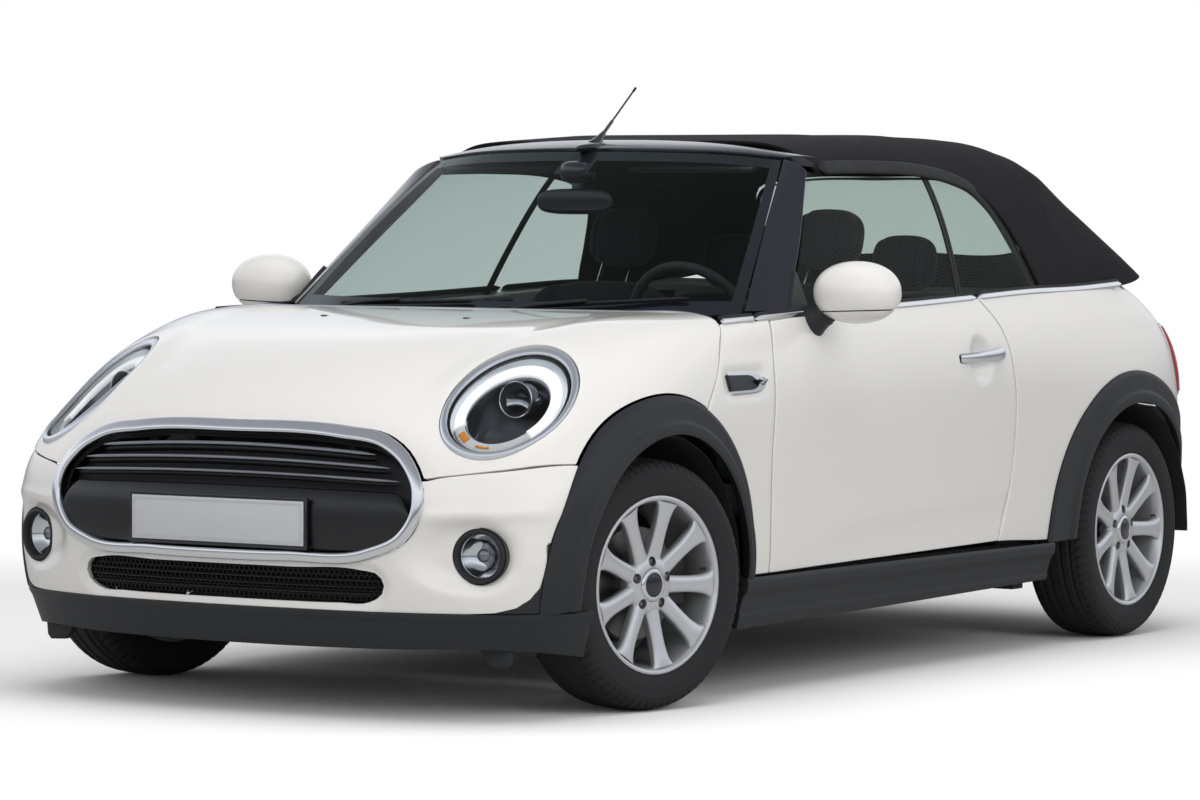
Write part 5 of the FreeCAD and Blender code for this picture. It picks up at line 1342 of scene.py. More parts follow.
ROOF_SIDE = [(622, -52, 1334), (621, 198, 1338), (621, 518, 1328), (628, 640, 1312), (640, 736, 1284),
             (668, 804, 1232), (718, 861, 1124), (754, 888, 1036), (780, 908, 978)]
ROOF_BACK = [(780, 908, 978), (772, 1150, 984), (756, 1330, 990), (690, 1500, 992), (580, 1590, 998),
             (540, 1606, 1004), (300, 1650, 1004), (0, 1665, 1002)]


RIBBON_POWER = 0.7
CABIN_MIDDLE = (0, 0, 900)
SCREEN_BEHIND = (0, 300, 900)


def bridge(low, high, swell, inside, stand=0.0):
    """A function of u and v between two edges, crowned outwards."""
    low, high = curve(low), curve(high)

    def spot(u, v):
        b = v[:, None]
        points = (1 - b) * low(u) + b * high(u)
        run = points - np.array(inside)
        lift = swell * 4 * v * (1 - v) + stand
        return points + unit(run) * lift[:, None]
    return spot


def part_of(spot, u_low, u_high, v_low, v_high):
    """The same surface between other limits."""
    return lambda u, v: spot(u_low + (u_high - u_low) * u, v_low + (v_high - v_low) * v)


def cabin_edge(points, shift=0.0):
    return [(HALF_WIDTH - cabin_inset(z), y + shift, z) for y, z in points]


def window(front, back, stand=-6.0, rows=40):
    """A pane that follows the cabin's surface."""
    return skin(50, rows, patch(None, None, front, back, spine, cabin, stand=stand), CABIN_MIDDLE)


def make_glass():
    screen = bridge(across(SCREEN_LOW), across(SCREEN_HIGH), 14, SCREEN_BEHIND)
    piece("windscreen_glass", thick(skin(90, 36, screen, SCREEN_BEHIND), 5), "screen_glass", "windscreen")
    deep = bridge(across(SCREEN_LOW), across(SCREEN_HIGH), 14, SCREEN_BEHIND, -5.6)
    border = [skin(90, 3, part_of(deep, 0, 1, 0, 0.085), SCREEN_BEHIND),
              skin(90, 3, part_of(deep, 0, 1, 0.94, 1), SCREEN_BEHIND),
              skin(4, 36, part_of(deep, 0, 0.022, 0, 1), SCREEN_BEHIND),
              skin(4, 36, part_of(deep, 0.978, 1, 0, 1), SCREEN_BEHIND),
              skin(14, 8, part_of(deep, 0.455, 0.545, 0.85, 0.96), SCREEN_BEHIND)]
    piece("windscreen_border", thick(merged(*border), 1), "gloss_black")
    front, split = cabin_edge(PILLAR_REAR, 8), cabin_edge(WINDOW_SPLIT, -3)
    pane_mesh = thick(window(front, split), 5)
    trim = thick(window(cabin_edge(WINDOW_SPLIT, -14), cabin_edge(WINDOW_SPLIT, -2), -4.5), 5)
    on_doors("door_pane", pane_mesh, "glass", "door_glass")
    on_doors("door_pane_edge", trim, "seal_rubber")
    on_doors("sail_panel", sail_mesh(), "cladding")
    back = cabin_edge(QUARTER_REAR)
    quarter = thick(window(cabin_edge(WINDOW_SPLIT, 3), back), 5)
    piece("quarter_panes", both(quarter), "glass", "quarter_glass")
    border = []
    for before, here, after in zip(ROOF_SIDE[:1] + ROOF_SIDE, ROOF_SIDE, ROOF_SIDE[1:] + ROOF_SIDE[-1:]):
        run = Vector((after[1] - before[1], after[2] - before[2])).normalized() * 10
        y, z = here[1] + run.y, here[2] - run.x
        border.append((HALF_WIDTH - cabin_inset(z) - 19, y, z))
    piece("side_window_surrounds", both(ribbon(border, 20, 6, 120, (1, 0, 0.5))), "seal_rubber", sharp=60)
    edge = thick(window(cabin_edge(WINDOW_SPLIT, 2), cabin_edge(WINDOW_SPLIT, 13), -4.5), 5)
    piece("quarter_pane_edges", both(edge), "seal_rubber")


def sail_mesh():
    """The black triangle in front of the door's glass, which carries the mirror."""
    front = cabin_edge([(-500, 950), (-470, 985), (-425, 1035), (-405, 1056)])
    back = cabin_edge([(-398, 952), (-399, 980), (-401, 1030), (-402, 1052)])
    spot = patch(None, None, front, back, spine, cabin, stand=1.5)
    return eased(thick(skin(20, 20, spot, CABIN_MIDDLE), 14), 2)


def make_frame():
    pillar = bridge(PILLAR_FRONT, PILLAR_BACK, 6, (0, -200, 1000))
    pillar = eased(thick(skin(36, 14, pillar, (0, -200, 1000)), 40), 7, 4)
    header = bridge(across(HEADER_FRONT), across(HEADER_BACK), 5, CABIN_MIDDLE)
    header = eased(thick(skin(90, 14, header, CABIN_MIDDLE), 28), 6, 4)
    piece("pillars_and_header", merged(both(pillar), header), "gloss_black", "windscreen_frame")
    cowl = bridge(across(COWL_FRONT), across(COWL_BACK), 0, (0, -700, 500))
    cowl = eased(thick(skin(80, 12, cowl, (0, -700, 500)), 12), 2)
    slots = [block((x - 14, -745, 905), (x + 14, -725, 960)) for x in range(-300, 301, 50)]
    piece("cowl_panel", carved(cowl, merged(*slots)), "cladding", "cowl")
    lines = [(0, -846, 955.5), (250, -841, 955), (500, -833, 954.5), (700, -828, 952), (752, -834, 944)]
    strip = ribbon(across(lines[::-1]), 6.5, 4.5, 120, (0, 0.25, 1))
    piece("screen_foot_strip", strip, "chrome", sharp=60)
    under = ribbon(across([(x, y + 4, z - 9) for x, y, z in lines[::-1]]), 11, 9, 120, (0, 0.25, 1))
    piece("screen_foot_seal", under, "seal_rubber", sharp=60)


def ribbon(points, half, lift, count, up):
    """A rounded strip along points: half its width across, lift its half height."""
    line = curve(points)
    up = np.array(up, float) / np.linalg.norm(up)

    def path(u):
        here = line(u)
        run = unit(line(np.clip(u + 0.01, 0, 1)) - line(np.clip(u - 0.01, 0, 1)))
        out = unit(np.cross(run, np.tile(up, (len(run), 1))))
        return here, out, np.cross(out, run)

    def shape(u, v):
        points, out, up = path(u)
        turn = v * TURN
        ends = np.clip(np.minimum(u, 1 - u) * 40, 0.05, 1) ** 0.5
        aside = half * squared(np.cos(turn), RIBBON_POWER) * ends
        rise = lift * squared(np.sin(turn), RIBBON_POWER) * ends
        return points + out * aside[:, None] + up * rise[:, None]
    return capped(count, 16, shape)


def canopy_shape(points):
    """The cloth dips between its bows and rises a little at them, with folds at the side."""
    x, y, z = np.abs(points[:, 0]), points[:, 1], points[:, 2]
    across_roof = 1 - ease(x, 420, 600)
    dip = 0
    for start, end in ((-90, 280), (280, 640), (640, 1010)):
        t = np.clip((y - start) / (end - start), 0, 1)
        dip = dip - 3.0 * 4 * t * (1 - t) * across_roof
    fall = np.clip((1306 - z) / 300, 0, 1)
    hollow = -(60 * fall * (1 - fall) + 38 * ease(fall, 0.3, 1)) * ease(y, 1100, 1200) * (1 - ease(x, 600, 740))
    seam = -2.2 * np.exp(-((y - 1178) / 4) ** 2) * ease(z, 1280, 1300)
    line = 1259 + (y - 866) * 0.1536
    side = ease(y, 850, 880) * (1 - ease(y, 1165, 1180)) * (x > 450)
    seam = seam - 2.2 * np.exp(-((z - line) / 3.5) ** 2) * side
    bow = 2.5 * np.exp(-((y - 1160) / 30) ** 2) * ease(z, 1250, 1290)
    ripple = 1.0 * np.sin(y * 0.021 + x * 0.013) * ease(y, 950, 1150)
    return dip + hollow + seam + bow + ripple


def make_canopy():
    spot = patch(across(ROOF_FRONT), across(ROOF_BACK), ROOF_SIDE, mirrored(ROOF_SIDE), roof_spine, cabin,
                 canopy_shape)
    cloth = eased(thick(skin(170, 150, spot, (0, 400, 900)), 9), 3.5)
    opening = prism(closed_outline(REAR_PANE, 0, 80), 1000, 1900)
    cloth = carved(cloth, opening)
    canopy = piece("canopy", cloth, "canopy_cloth", "soft_top", sharp=50)
    low = across([(520, 1440, 1060), (0, 1520, 1060)])
    high = across([(500, 1180, 1340), (0, 1200, 1340)])
    band = patch(low, high, [low[0], high[0]], [low[-1], high[-1]], roof_spine, cabin, canopy_shape, stand=-4)
    band = thick(skin(60, 40, band, (0, 400, 900)), 5)
    pane_mesh = kept(band, prism(closed_outline(REAR_PANE, 6, 80), 1000, 1900))
    piece("rear_pane", pane_mesh, "glass", "rear_window")
    outline = closed_outline(REAR_PANE, -1, 160)

    def rim(u, v):
        place = outline[np.round(u * 160).astype(int) % 160]
        start = np.stack([place[:, 0] * 0.6, 0 * place[:, 0] + 500, place[:, 1] - 60], axis=1)
        aim = np.stack([place[:, 0], 0 * place[:, 0] + 1400, place[:, 1]], axis=1)
        points = cast(start, unit(aim - start), cabin)
        normal = slope(points, cabin)
        points = points + normal * canopy_shape(points)[:, None]
        out = points - np.array([0, 1350, 1200])
        out = unit(out - normal * (out * normal).sum(axis=1)[:, None])
        turn = v * TURN
        return points + out * (8 * np.cos(turn))[:, None] + normal * (3.2 * np.sin(turn) + 1)[:, None]
    piece("rear_pane_rim", closed(sheet(160, 12, rim)), "seal_rubber", sharp=60)


# Trim

WAIST = [(790, -845, 935), (789, -615, 942), (792, -355, 952), (787, 76, 963), (781, 480, 977), (776, 800, 989),
         (772, 1115, 994), (775, 1377, 1005)]


def waist_strip(start, end):
    inner = [(x, y, z) for x, y, z in WAIST if start < y < end]
    line = curve(WAIST)
    part = np.linspace(0, 1, 400)
    spots = line(part)
    ends = [tuple(spots[np.abs(spots[:, 1] - y).argmin()]) for y in (start, end)]
    points = [ends[0]] + inner + [ends[1]]
    return (ribbon(points, 8.6, 5, 80, (1, 0, 0.45)),
            ribbon([(x - 6, y, z + 7) for x, y, z in points], 9, 5.5, 80, (1, 0, 0.6)))


def make_trim():
    for name, start, end in (("scuttle", -838, -686), ("door", -676, 497), ("quarter", 507, 1377)):
        chrome, seal = waist_strip(start, end)
        if name == "door":
            on_doors("waist_strip_door", chrome, "chrome", sharp=60)
            on_doors("waist_seal_door", seal, "seal_rubber", sharp=60)
        else:
            piece(f"waist_strips_{name}", both(chrome), "chrome", sharp=60)
            piece(f"waist_seals_{name}", both(seal), "seal_rubber", sharp=60)
    pull, cups = door_handle()
    on_doors("door_handle", pull, "chrome", sharp=60)
    on_doors("door_handle_cups", cups, "seal_rubber")
    surround, lens, end = side_indicator()
    piece("side_indicator_frames", merged(both(surround), both(end)), "chrome", sharp=50)
    piece("side_indicator_lenses", both(lens), "bar_black", sharp=50)
    nozzle = eased(block((-9, -16, -4), (9, 16, 6), Matrix.Rotation(math.radians(-4), 3, "X")), 4, 3)
    moved(nozzle, (219, -1115, 936))
    piece("washer_nozzles", both(nozzle), "gloss_black", body="bonnet_lid")
    make_wipers()


def door_handle():
    """A chrome pull on two feet across its scoop."""
    x, y, z = HANDLE
    def shape(u, v):
        s = -np.cos(u * math.pi)
        turn = v * TURN
        bow = 1 - np.abs(s) ** 3.6
        tip = np.clip((1 - np.abs(s)) * 8, 0, 1)
        end = np.sqrt(np.clip(1 - (1 - tip) ** 2, 0.0004, 1))
        wide = (16 + 4 * s) * end
        deep = (8 + 2 * s) * end
        place_x = x - 8 + 32 * bow + np.cos(turn) * deep
        return np.stack([place_x, y + s * 128, z + 4 + 5 * s + np.sin(turn) * wide], axis=1)
    mesh = capped(60, 18, shape)
    cups = [eased(block((x - 16, y + s * 112 - 15, z - 12 + 5 * s), (x + 3, y + s * 112 + 15, z + 14 + 5 * s)), 6)
            for s in (-1, 1)]
    return mesh, merged(*cups)


def side_tab(front, back, half, stand, thickness):
    """A plate on the car's side, square in front and round behind."""
    def spot(u, v):
        part = np.sin(u * math.pi / 2)
        end = np.sqrt(np.clip(1 - ((part - 0.66) / 0.34) ** 2, 0.0009, 1))
        tall = half * np.where(part < 0.66, 1, end) * (1 - 0.1 * part)
        across_part = 2 * v - 1
        points = side_points(front + (back - front) * part - 7 * across_part, 785 + tall * across_part)
        return points + slope(points, outside) * stand
    return eased(thick(skin(44, 18, spot), thickness), 2.4)


def side_indicator():
    """A chrome frame round a dark lens on the scuttle."""
    return side_tab(-886, -718, 29, 3, 14), side_tab(-890, -752, 20, 6, 14), side_tab(-772, -728, 12, 5, 12)


def make_wipers():
    screen = bridge(across(SCREEN_LOW), across(SCREEN_HIGH), 14, SCREEN_BEHIND, 9)
    spot = lambda u, v: tuple(screen(np.array([u]), np.array([v]))[0])
    blades, arms = [], []
    for u_tip, u_root, v_tip, v_root in ((0.10, 0.46, 0.10, 0.045), (0.52, 0.84, 0.085, 0.045)):
        line = [spot(u_tip + (u_root - u_tip) * t, v_tip + (v_root - v_tip) * t) for t in (0, 0.35, 0.7, 1)]
        blades.append(ribbon(line, 5, 5, 50, (0, -0.5, 1)))
        pivot = spot(u_root + 0.02, 0.01)
        low = (pivot[0], pivot[1] - 20, pivot[2] - 4)
        middle = spot(u_tip + (u_root - u_tip) * 0.5, v_tip + (v_root - v_tip) * 0.5)
        middle = (middle[0], middle[1] - 9, middle[2] + 8)
        knee = tuple((a + b) / 2 + c for a, b, c in zip(low, middle, (0, -6, 6)))
        arms.append(ribbon([low, knee, middle], 7, 4, 30, (0, -0.5, 1)))
        arms.append(eased(rod((low[0], low[1], low[2] - 22), (low[0], low[1], low[2] + 8), 13, 11), 2))
    piece("wipers", merged(*blades, *arms), "seal_rubber", sharp=50)


MIRROR_FACE = 38
MIRROR_FOOT = (786, -404, 926)


def mirror_head(half, cuts, place):
    """A rounded housing with a flat rear face."""
    mesh = cube_sphere(half, 2.12, cuts)
    for vertex in mesh.verts:
        if vertex.co.y > MIRROR_FACE:
            vertex.co.y = MIRROR_FACE + (vertex.co.y - MIRROR_FACE) * 0.12
    return moved(mesh, place)


def make_mirrors():
    groove = block((780, -520, 957), (1080, -300, 960.2), Matrix.Rotation(math.radians(-2), 3, "Y"))
    shell = carved(mirror_head((118, 86, 80), 26, (925, -400, 1005)), groove)
    inner = mirror_head((114, 82, 76), 20, (925, -401, 1005))
    glass = lathe([(41, 0), (44, 0), (44, 62), (41, 64)], 64, (0, 1, 0))
    bmesh.ops.scale(glass, vec=(1.45, 1, 0.98), verts=glass.verts)
    moved(glass, (925, -400, 1005))
    run = Vector((880, -400, 985)) - Vector(MIRROR_FOOT)
    foot = lathe([(-14, 0), (-14, 44), (0, 46), (8, 45), (22, 40), (44, 35), (47, 36.5), (50, 36.5), (53, 34.5),
                  (80, 32), (82, 33.5), (86, 33.5), (88, 31.5), (run.length, 33), (run.length, 0)], 56, run,
                 MIRROR_FOOT)
    on_doors("mirror_shell", shell, "paint", "mirror", 50)
    on_doors("mirror_inner", inner, "gloss_black", sharp=50)
    on_doors("mirror_glass", glass, "mirror_glass")
    on_doors("mirror_foot", foot, "cladding", sharp=30)


def cube_sphere(half, power, cuts):
    """A rounded block with even quads."""
    mesh = bmesh.new()
    bmesh.ops.create_cube(mesh, size=2)
    bmesh.ops.subdivide_edges(mesh, edges=mesh.edges, cuts=cuts, use_grid_fill=True)
    for vertex in mesh.verts:
        place = np.abs(np.array(vertex.co))
        vertex.co = vertex.co / (place ** power).sum() ** (1 / power)
        vertex.co = Vector(a * b for a, b in zip(vertex.co, half))
    return mesh


def make_antenna():
    base = cube_sphere((34, 66, 20), 2.3, 16)
    for vertex in base.verts:
        vertex.co.z *= 0.45 + 0.55 * (vertex.co.y / 66 + 1) / 2 if vertex.co.z > 0 else 1
        vertex.co.x *= 0.7 + 0.3 * (vertex.co.y / 66 + 1) / 2
    moved(base, (0, -212, 1378))
    lean = math.radians(52)
    run = Vector((0, math.sin(lean), math.cos(lean)))
    start = Vector((0, -194, 1388))
    mast = lathe([(-14, 0), (-14, 20), (4, 16), (26, 10), (46, 7), (50, 5), (100, 4.6), (103, 2.8), (232, 2.4),
                  (234, 3.6), (248, 3.6), (250, 0)], 24, run, start)
    piece("antenna_base_and_mast", merged(base, mast), "gloss_black", "antenna", sharp=50)


def make_tail_lamps():
    low, high = [(800, 1600, 690), (660, 1810, 690)], [(790, 1560, 880), (660, 1740, 880)]
    ends = [(800, 1600, 690), (790, 1560, 880)], [(660, 1810, 690), (660, 1740, 880)]
    lens = panel(low, high, *ends, 40, 40, 12, stand=8, edge=5,
                 shape=lambda points: 3 * np.sin(np.clip((points[:, 2] - 690) / 190, 0, 1) * math.pi))
    piece("tail_lamp_lenses", both(lens), "red_lens", "tail_lamps")
    grow = 9
    low = [(802, 1590, 690 - grow), (652, 1822, 690 - grow)]
    high = [(792, 1550, 880 + grow), (652, 1750, 880 + grow)]
    bezel = panel(low, high, [low[0], high[0]], [low[1], high[1]], 40, 40, 12, stand=4.5, edge=4)
    piece("tail_lamp_frames", both(bezel), "chrome", sharp=60)


# Wheels

HALF_TRACK, KINGPIN = 742.5, 690
STEERED = math.radians(-10.9)
BOLT_CIRCLE, BOLT_COUNT = 56, 5
SPOKE_COUNT, SPOKE_START, SPOKE_FOOT, SPOKE_LENGTH = 9, 38, 46, 155
TREAD_BLOCKS = 72


def wheel_places():
    """Each wheel's place at rest. A wheel's own X axis points outwards."""
    turn = Matrix.Rotation(STEERED, 4, "Z")
    back = Matrix.Rotation(math.pi, 4, "Z")
    places = {}
    for side, mark in (("left", 1), ("right", -1)):
        pin = Matrix.Translation((mark * KINGPIN, -FRONT_AXLE, WHEEL_HEIGHT))
        centre = turn @ Vector((mark * (HALF_TRACK - KINGPIN), 0, 0))
        front = pin @ Matrix.Translation(centre) @ turn
        rear = Matrix.Translation((mark * HALF_TRACK, REAR_AXLE, WHEEL_HEIGHT))
        places["front_" + side] = front if mark == 1 else front @ back
        places["rear_" + side] = rear if mark == 1 else rear @ back
    return places


def tyre_mesh():
    half = Line([(0, 0), (0.1, 30), (0.2, 60), (0.27, 76), (0.33, 87), (0.4, 93.5), (0.52, 97.3), (0.66, 96),
                 (0.8, 91), (0.88, 87), (0.93, 84), (1, 78)])
    reach = Line([(0, 306), (0.1, 305.6), (0.2, 303.5), (0.27, 300), (0.33, 293), (0.4, 282), (0.52, 260),
                  (0.66, 240), (0.8, 224), (0.88, 216), (0.93, 210), (1, 204)])
    part = np.linspace(0, 1, 44)
    x = np.concatenate([-half(part)[::-1], half(part)[1:]])
    r = np.concatenate([reach(part)[::-1], reach(part)[1:]])
    x, r = np.append(x, x[0]), np.append(r, r[0])
    last = len(x) - 1

    def shape(u, v):
        row = np.round(v * last).astype(int)
        angle = u * TURN
        along, out = x[row], r[row]
        side = np.abs(along)
        groove = 6 * (np.abs(side - 19) < 4.4) + 5.5 * (np.abs(side - 51) < 4)
        block_phase = (u * TREAD_BLOCKS + 0.16 * np.sign(along) * side / 20) % 1
        lateral = 4.5 * (block_phase < 0.22) * (side > 60) * (side < 92) * (out > 286)
        sipe = 2.5 * ((u * TREAD_BLOCKS + side / 34) % 1 < 0.14) * (side > 24) * (side < 46)
        ribs = 1.2 * (np.abs(out - 268) < 2.2) + 1.0 * (np.abs(out - 226) < 2.2) + 0.8 * (np.abs(out - 279) < 1.6)
        out = out - (groove + lateral + sipe) * (out > 284)
        along = along + np.sign(along) * ribs * (side > 70)
        return np.stack([along, np.cos(angle) * out, np.sin(angle) * out], axis=1)
    return closed(sheet(6 * TREAD_BLOCKS, last, shape))


def bolt_spots(along=0):
    """The bolts' places round the hub."""
    angles = [TURN / BOLT_COUNT * k + math.pi / 2 for k in range(BOLT_COUNT)]
    return [Vector((along, math.cos(angle) * BOLT_CIRCLE, math.sin(angle) * BOLT_CIRCLE)) for angle in angles]


def rim_mesh():
    """Barrel, hub and spokes, each with the bolts' wells cut out."""
    barrel = lathe([(86, 217), (89.5, 216.5), (91.5, 213), (90.5, 208.5), (85, 204.5), (76, 201), (60, 197.5),
                    (30, 194), (-30, 190), (-66, 192), (-84, 200), (-89, 214), (-86, 217), (-80, 207), (-60, 199),
                    (0, 197), (60, 203.5), (80, 208), (86, 217)], 144)
    hub = lathe([(20, 0), (20, 60), (34, 72), (52, 76), (60, 74), (66, 68), (69.5, 58), (71, 48), (71.5, 42),
                 (67, 40), (60, 40), (60, 0)], 90)
    wells = merged(*[rod(spot + Vector((50, 0, 0)), spot + Vector((95, 0, 0)), 11.5, 13.5, 28)
                     for spot in bolt_spots()])
    width = Line([(46, 25), (70, 22.5), (105, 21), (140, 21), (172, 24), (190, 29), (201, 37)])
    face = Line([(46, 66), (80, 70), (120, 75), (160, 80.5), (190, 85), (201, 86)])
    depth = Line([(46, 40), (100, 34), (160, 32), (201, 26)])

    def spoke(u, v):
        out = SPOKE_FOOT + u * SPOKE_LENGTH
        turn = v * TURN
        side = squared(np.cos(turn), 0.75) * width(out)
        rise = np.sin(turn)
        lift = np.where(rise > 0, np.abs(rise) ** 0.8 * 0.34, -np.abs(rise) ** 0.7 * 0.66) * depth(out)
        return np.stack([face(out) - 0.34 * depth(out) + lift, side, out], axis=1)
    arm = capped(40, 26, spoke)
    spokes = []
    for k in range(SPOKE_COUNT):
        one = arm.copy()
        one.transform(Matrix.Rotation(math.radians(SPOKE_START + 360 / SPOKE_COUNT * k - 90), 4, "X"))
        spokes.append(carved(one, wells.copy()))
    arm.free()
    return merged(barrel, carved(hub, wells), *spokes)


def wheel_small_parts():
    bolts = []
    for spot in bolt_spots(52):
        head = rod(spot, spot + Vector((13, 0, 0)), 7.4, 7.0, 6)
        bolts.append(eased(head, 1.2, 2))
        bolts.append(rod(spot - Vector((1, 0, 0)), spot + Vector((3, 0, 0)), 11, 11, 24))
    cap = lathe([(60, 0), (60, 28.5), (71, 28.5), (74.5, 27), (75.5, 22), (76.4, 12), (76.8, 0)], 72)
    ring = lathe([(64, 41), (71, 40.6), (74.5, 37.5), (76, 33), (75.6, 29.5), (73, 28.3), (64, 28.3)], 72)
    disc = lathe([(-12, 60), (-12, 138), (-10.5, 140), (-3, 140), (-2, 137), (-2, 70), (0, 70), (0, 137), (1, 140),
                  (8.5, 140), (10, 138), (10, 72), (30, 70), (34, 66), (34, 0), (30, 0), (26, 60)], 120)
    valve = rod((70, 168, 30), (84, 176, 31), 3.2, 2.6, 14)
    return merged(*bolts), cap, ring, disc, valve


def make_wheels():
    tyre, rim = tyre_mesh(), rim_mesh()
    bolts, cap, ring, disc, valve = wheel_small_parts()
    for name, place in wheel_places().items():
        for label, mesh, finish, node, sharp in (
                ("tyre_tread", tyre, "tyre_rubber", f"tyre_{name}", 30),
                ("rim_and_spokes", rim, "wheel_silver", f"wheel_{name}", 45),
                ("wheel_bolts", bolts, "iron_with_painted_shade", None, 30), ("wheel_cap", cap, "gloss_black", None, 40),
                ("cap_ring", ring, "chrome", None, 40), ("brake_disc", disc, "iron_with_painted_shade", None, 30),
                ("valve", valve, "seal_rubber", None, 40)):
            one = mesh.copy()
            one.transform(place)
            piece(f"{label}_{name}", one, finish, node, sharp, f"{name}_wheel")


# Cabin

SEAT_ASIDE, SEAT_LEAN = 335, 24
BENCH_ASIDE = 283
SEAM_PLACE = 0.62


def cushion(half, power, cuts, place, shape):
    """A padded form: a rounded block moved by shape(points), then placed."""
    mesh = cube_sphere((1, 1, 1), power, cuts)
    points = np.array([vertex.co for vertex in mesh.verts]) * np.array(half)
    points = shape(points)
    for vertex, spot in zip(mesh.verts, points):
        vertex.co = spot
    mesh.transform(place)
    bmesh.ops.recalc_face_normals(mesh, faces=mesh.faces)
    return mesh


def pad_shape(half, bolster, channels):
    """Side bolsters, two long seams and cross channels on a pad's upper face."""
    def shape(points):
        x, y, z = points.T
        top = ease(z, 0, half[2] * 0.6)
        wing = bolster * ease(np.abs(x), half[0] * 0.55, half[0] * 0.85) * top
        line = -7 * np.exp(-((np.abs(x) - half[0] * SEAM_PLACE) / 7) ** 2) * top
        cross = 0
        for place in channels:
            cross = cross - 5 * np.exp(-((y - place) / 8) ** 2) * top * (np.abs(x) < half[0] * SEAM_PLACE)
        crown = 10 * (1 - (x / half[0]) ** 2) * (1 - (y / half[1]) ** 2) * top
        piping = -3 * np.exp(-((z - half[2] * 0.35) / 6) ** 2)
        scale = 1 + piping / half[0]
        return np.stack([x * scale, y * scale, z + wing + line + cross + crown], axis=1)
    return shape


def pad(half, power, cuts, middle, lean, bolster, channels):
    """A seat's cushion: its half sizes, roundness, place, lean in degrees, bolsters and cross seams."""
    place = Matrix.Translation(middle) @ Matrix.Rotation(math.radians(lean), 4, "X")
    return cushion(half, power, cuts, place, pad_shape(half, bolster, channels))


def front_seat(side):
    """A seat on its rails, with its back and headrest."""
    x = SEAT_ASIDE if side == "left" else -SEAT_ASIDE
    seat = pad((240, 246, 66), 4.2, 28, (x, -30, 392), 4, 26, (-120, -20, 80))
    back = pad((232, 300, 58), 4.0, 28, (x, 282, 730), 90 - SEAT_LEAN, 30, (-120, 0, 120))
    head = pad((102, 84, 48), 2.9, 20, (x, 470, 1132), 74, 0, ())
    padding = piece(f"front_seat_{side}", merged(seat, back, head), "seat_cloth", f"seat_{side}", 50)
    posts = [rod((x + dx, 385, 960), (x + dx, 455, 1085), 5.5) for dx in (-48, 48)]
    piece(f"headrest_posts_{side}", merged(*posts), "chrome")
    rails = [eased(block((x + dx - 14, -240, 215), (x + dx + 14, 200, 240)), 3) for dx in (-190, 190)]
    base = eased(block((x - 215, -220, 238), (x + 215, 205, 330)), 14)
    piece(f"seat_base_{side}", merged(base, *rails), "cabin_plastic")


def make_seats():
    front_seat("left")
    front_seat("right")
    parts = []
    for mark in (1, -1):
        x = BENCH_ASIDE * mark
        parts += [pad((275, 118, 150), 5, 24, (x, 762, 366), 0, 14, (-30,)),
                  pad((272, 256, 50), 4.6, 24, (x, 962, 714), 86, 10, (-80, 80)),
                  pad((98, 80, 44), 3, 18, (x, 988, 1062), 82, 0, ())]
    piece("rear_bench", merged(*parts), "seat_cloth", "rear_seat", sharp=50)


def make_cabin_trim():
    """Dark trim inside the rear quarters and the shelf behind the rear seat."""
    front = [(836, 620, 700), (820, 630, 820), (790, 640, 960)]
    back = [(810, 1380, 710), (790, 1400, 850), (760, 1400, 985)]
    low, high = [front[0], (832, 1000, 705), back[0]], [front[-1], (782, 1000, 976), back[-1]]
    wall = thick(skin(40, 24, patch(low, high, front, back, stand=-30)), 4)
    shelf = eased(block((-690, 1075, 930), (690, 1420, 944)), 4)
    back_wall = eased(block((-600, 1062, 600), (600, 1074, 944)), 4)
    piece("rear_side_trims", merged(both(wall), shelf, back_wall), "cabin_plastic", sharp=50)


def make_dashboard():
    profile = [(-640, 900), (-560, 916), (-470, 912), (-412, 882), (-392, 826), (-404, 760), (-440, 706),
               (-600, 700), (-640, 730)]
    board = eased(prism(profile, -698, 698, axis=0), 16, 4, 20)
    hood = cushion((150, 95, 42), 3, 16, Matrix.Translation((345, -440, 925)), lambda points: points)
    piece("dashboard_board", merged(board, hood), "cabin_plastic", "dashboard", sharp=40)
    dial = lathe([(-18, 0), (-18, 92), (0, 100), (10, 102), (14, 98), (12, 90), (4, 86), (2, 0)], 72, (0, 1, 0.25),
                 (0, -398, 838))
    vents = [lathe([(-14, 0), (-14, 40), (0, 44), (8, 44), (9, 38), (2, 34), (2, 0)], 48, (0, 1, 0.2),
                   (x, -400, 838)) for x in (-610, 610)]
    piece("dashboard_rings", merged(dial, *vents), "satin_chrome", sharp=40)
    face = lathe([(2, 0), (6, 0), (6, 85), (2, 86)], 60, (0, 1, 0.25), (0, -398, 838))
    piece("dashboard_screen", face, "gloss_black")
    console = eased(block((-85, -420, 320), (85, 240, 430)), 20, 4)
    lever = merged(rod((0, -190, 425), (0, -205, 500), 10, 7), cushion((24, 24, 28), 2.2, 10,
                   Matrix.Translation((0, -207, 515)), lambda points: points))
    piece("centre_console", merged(console, lever), "cabin_plastic")


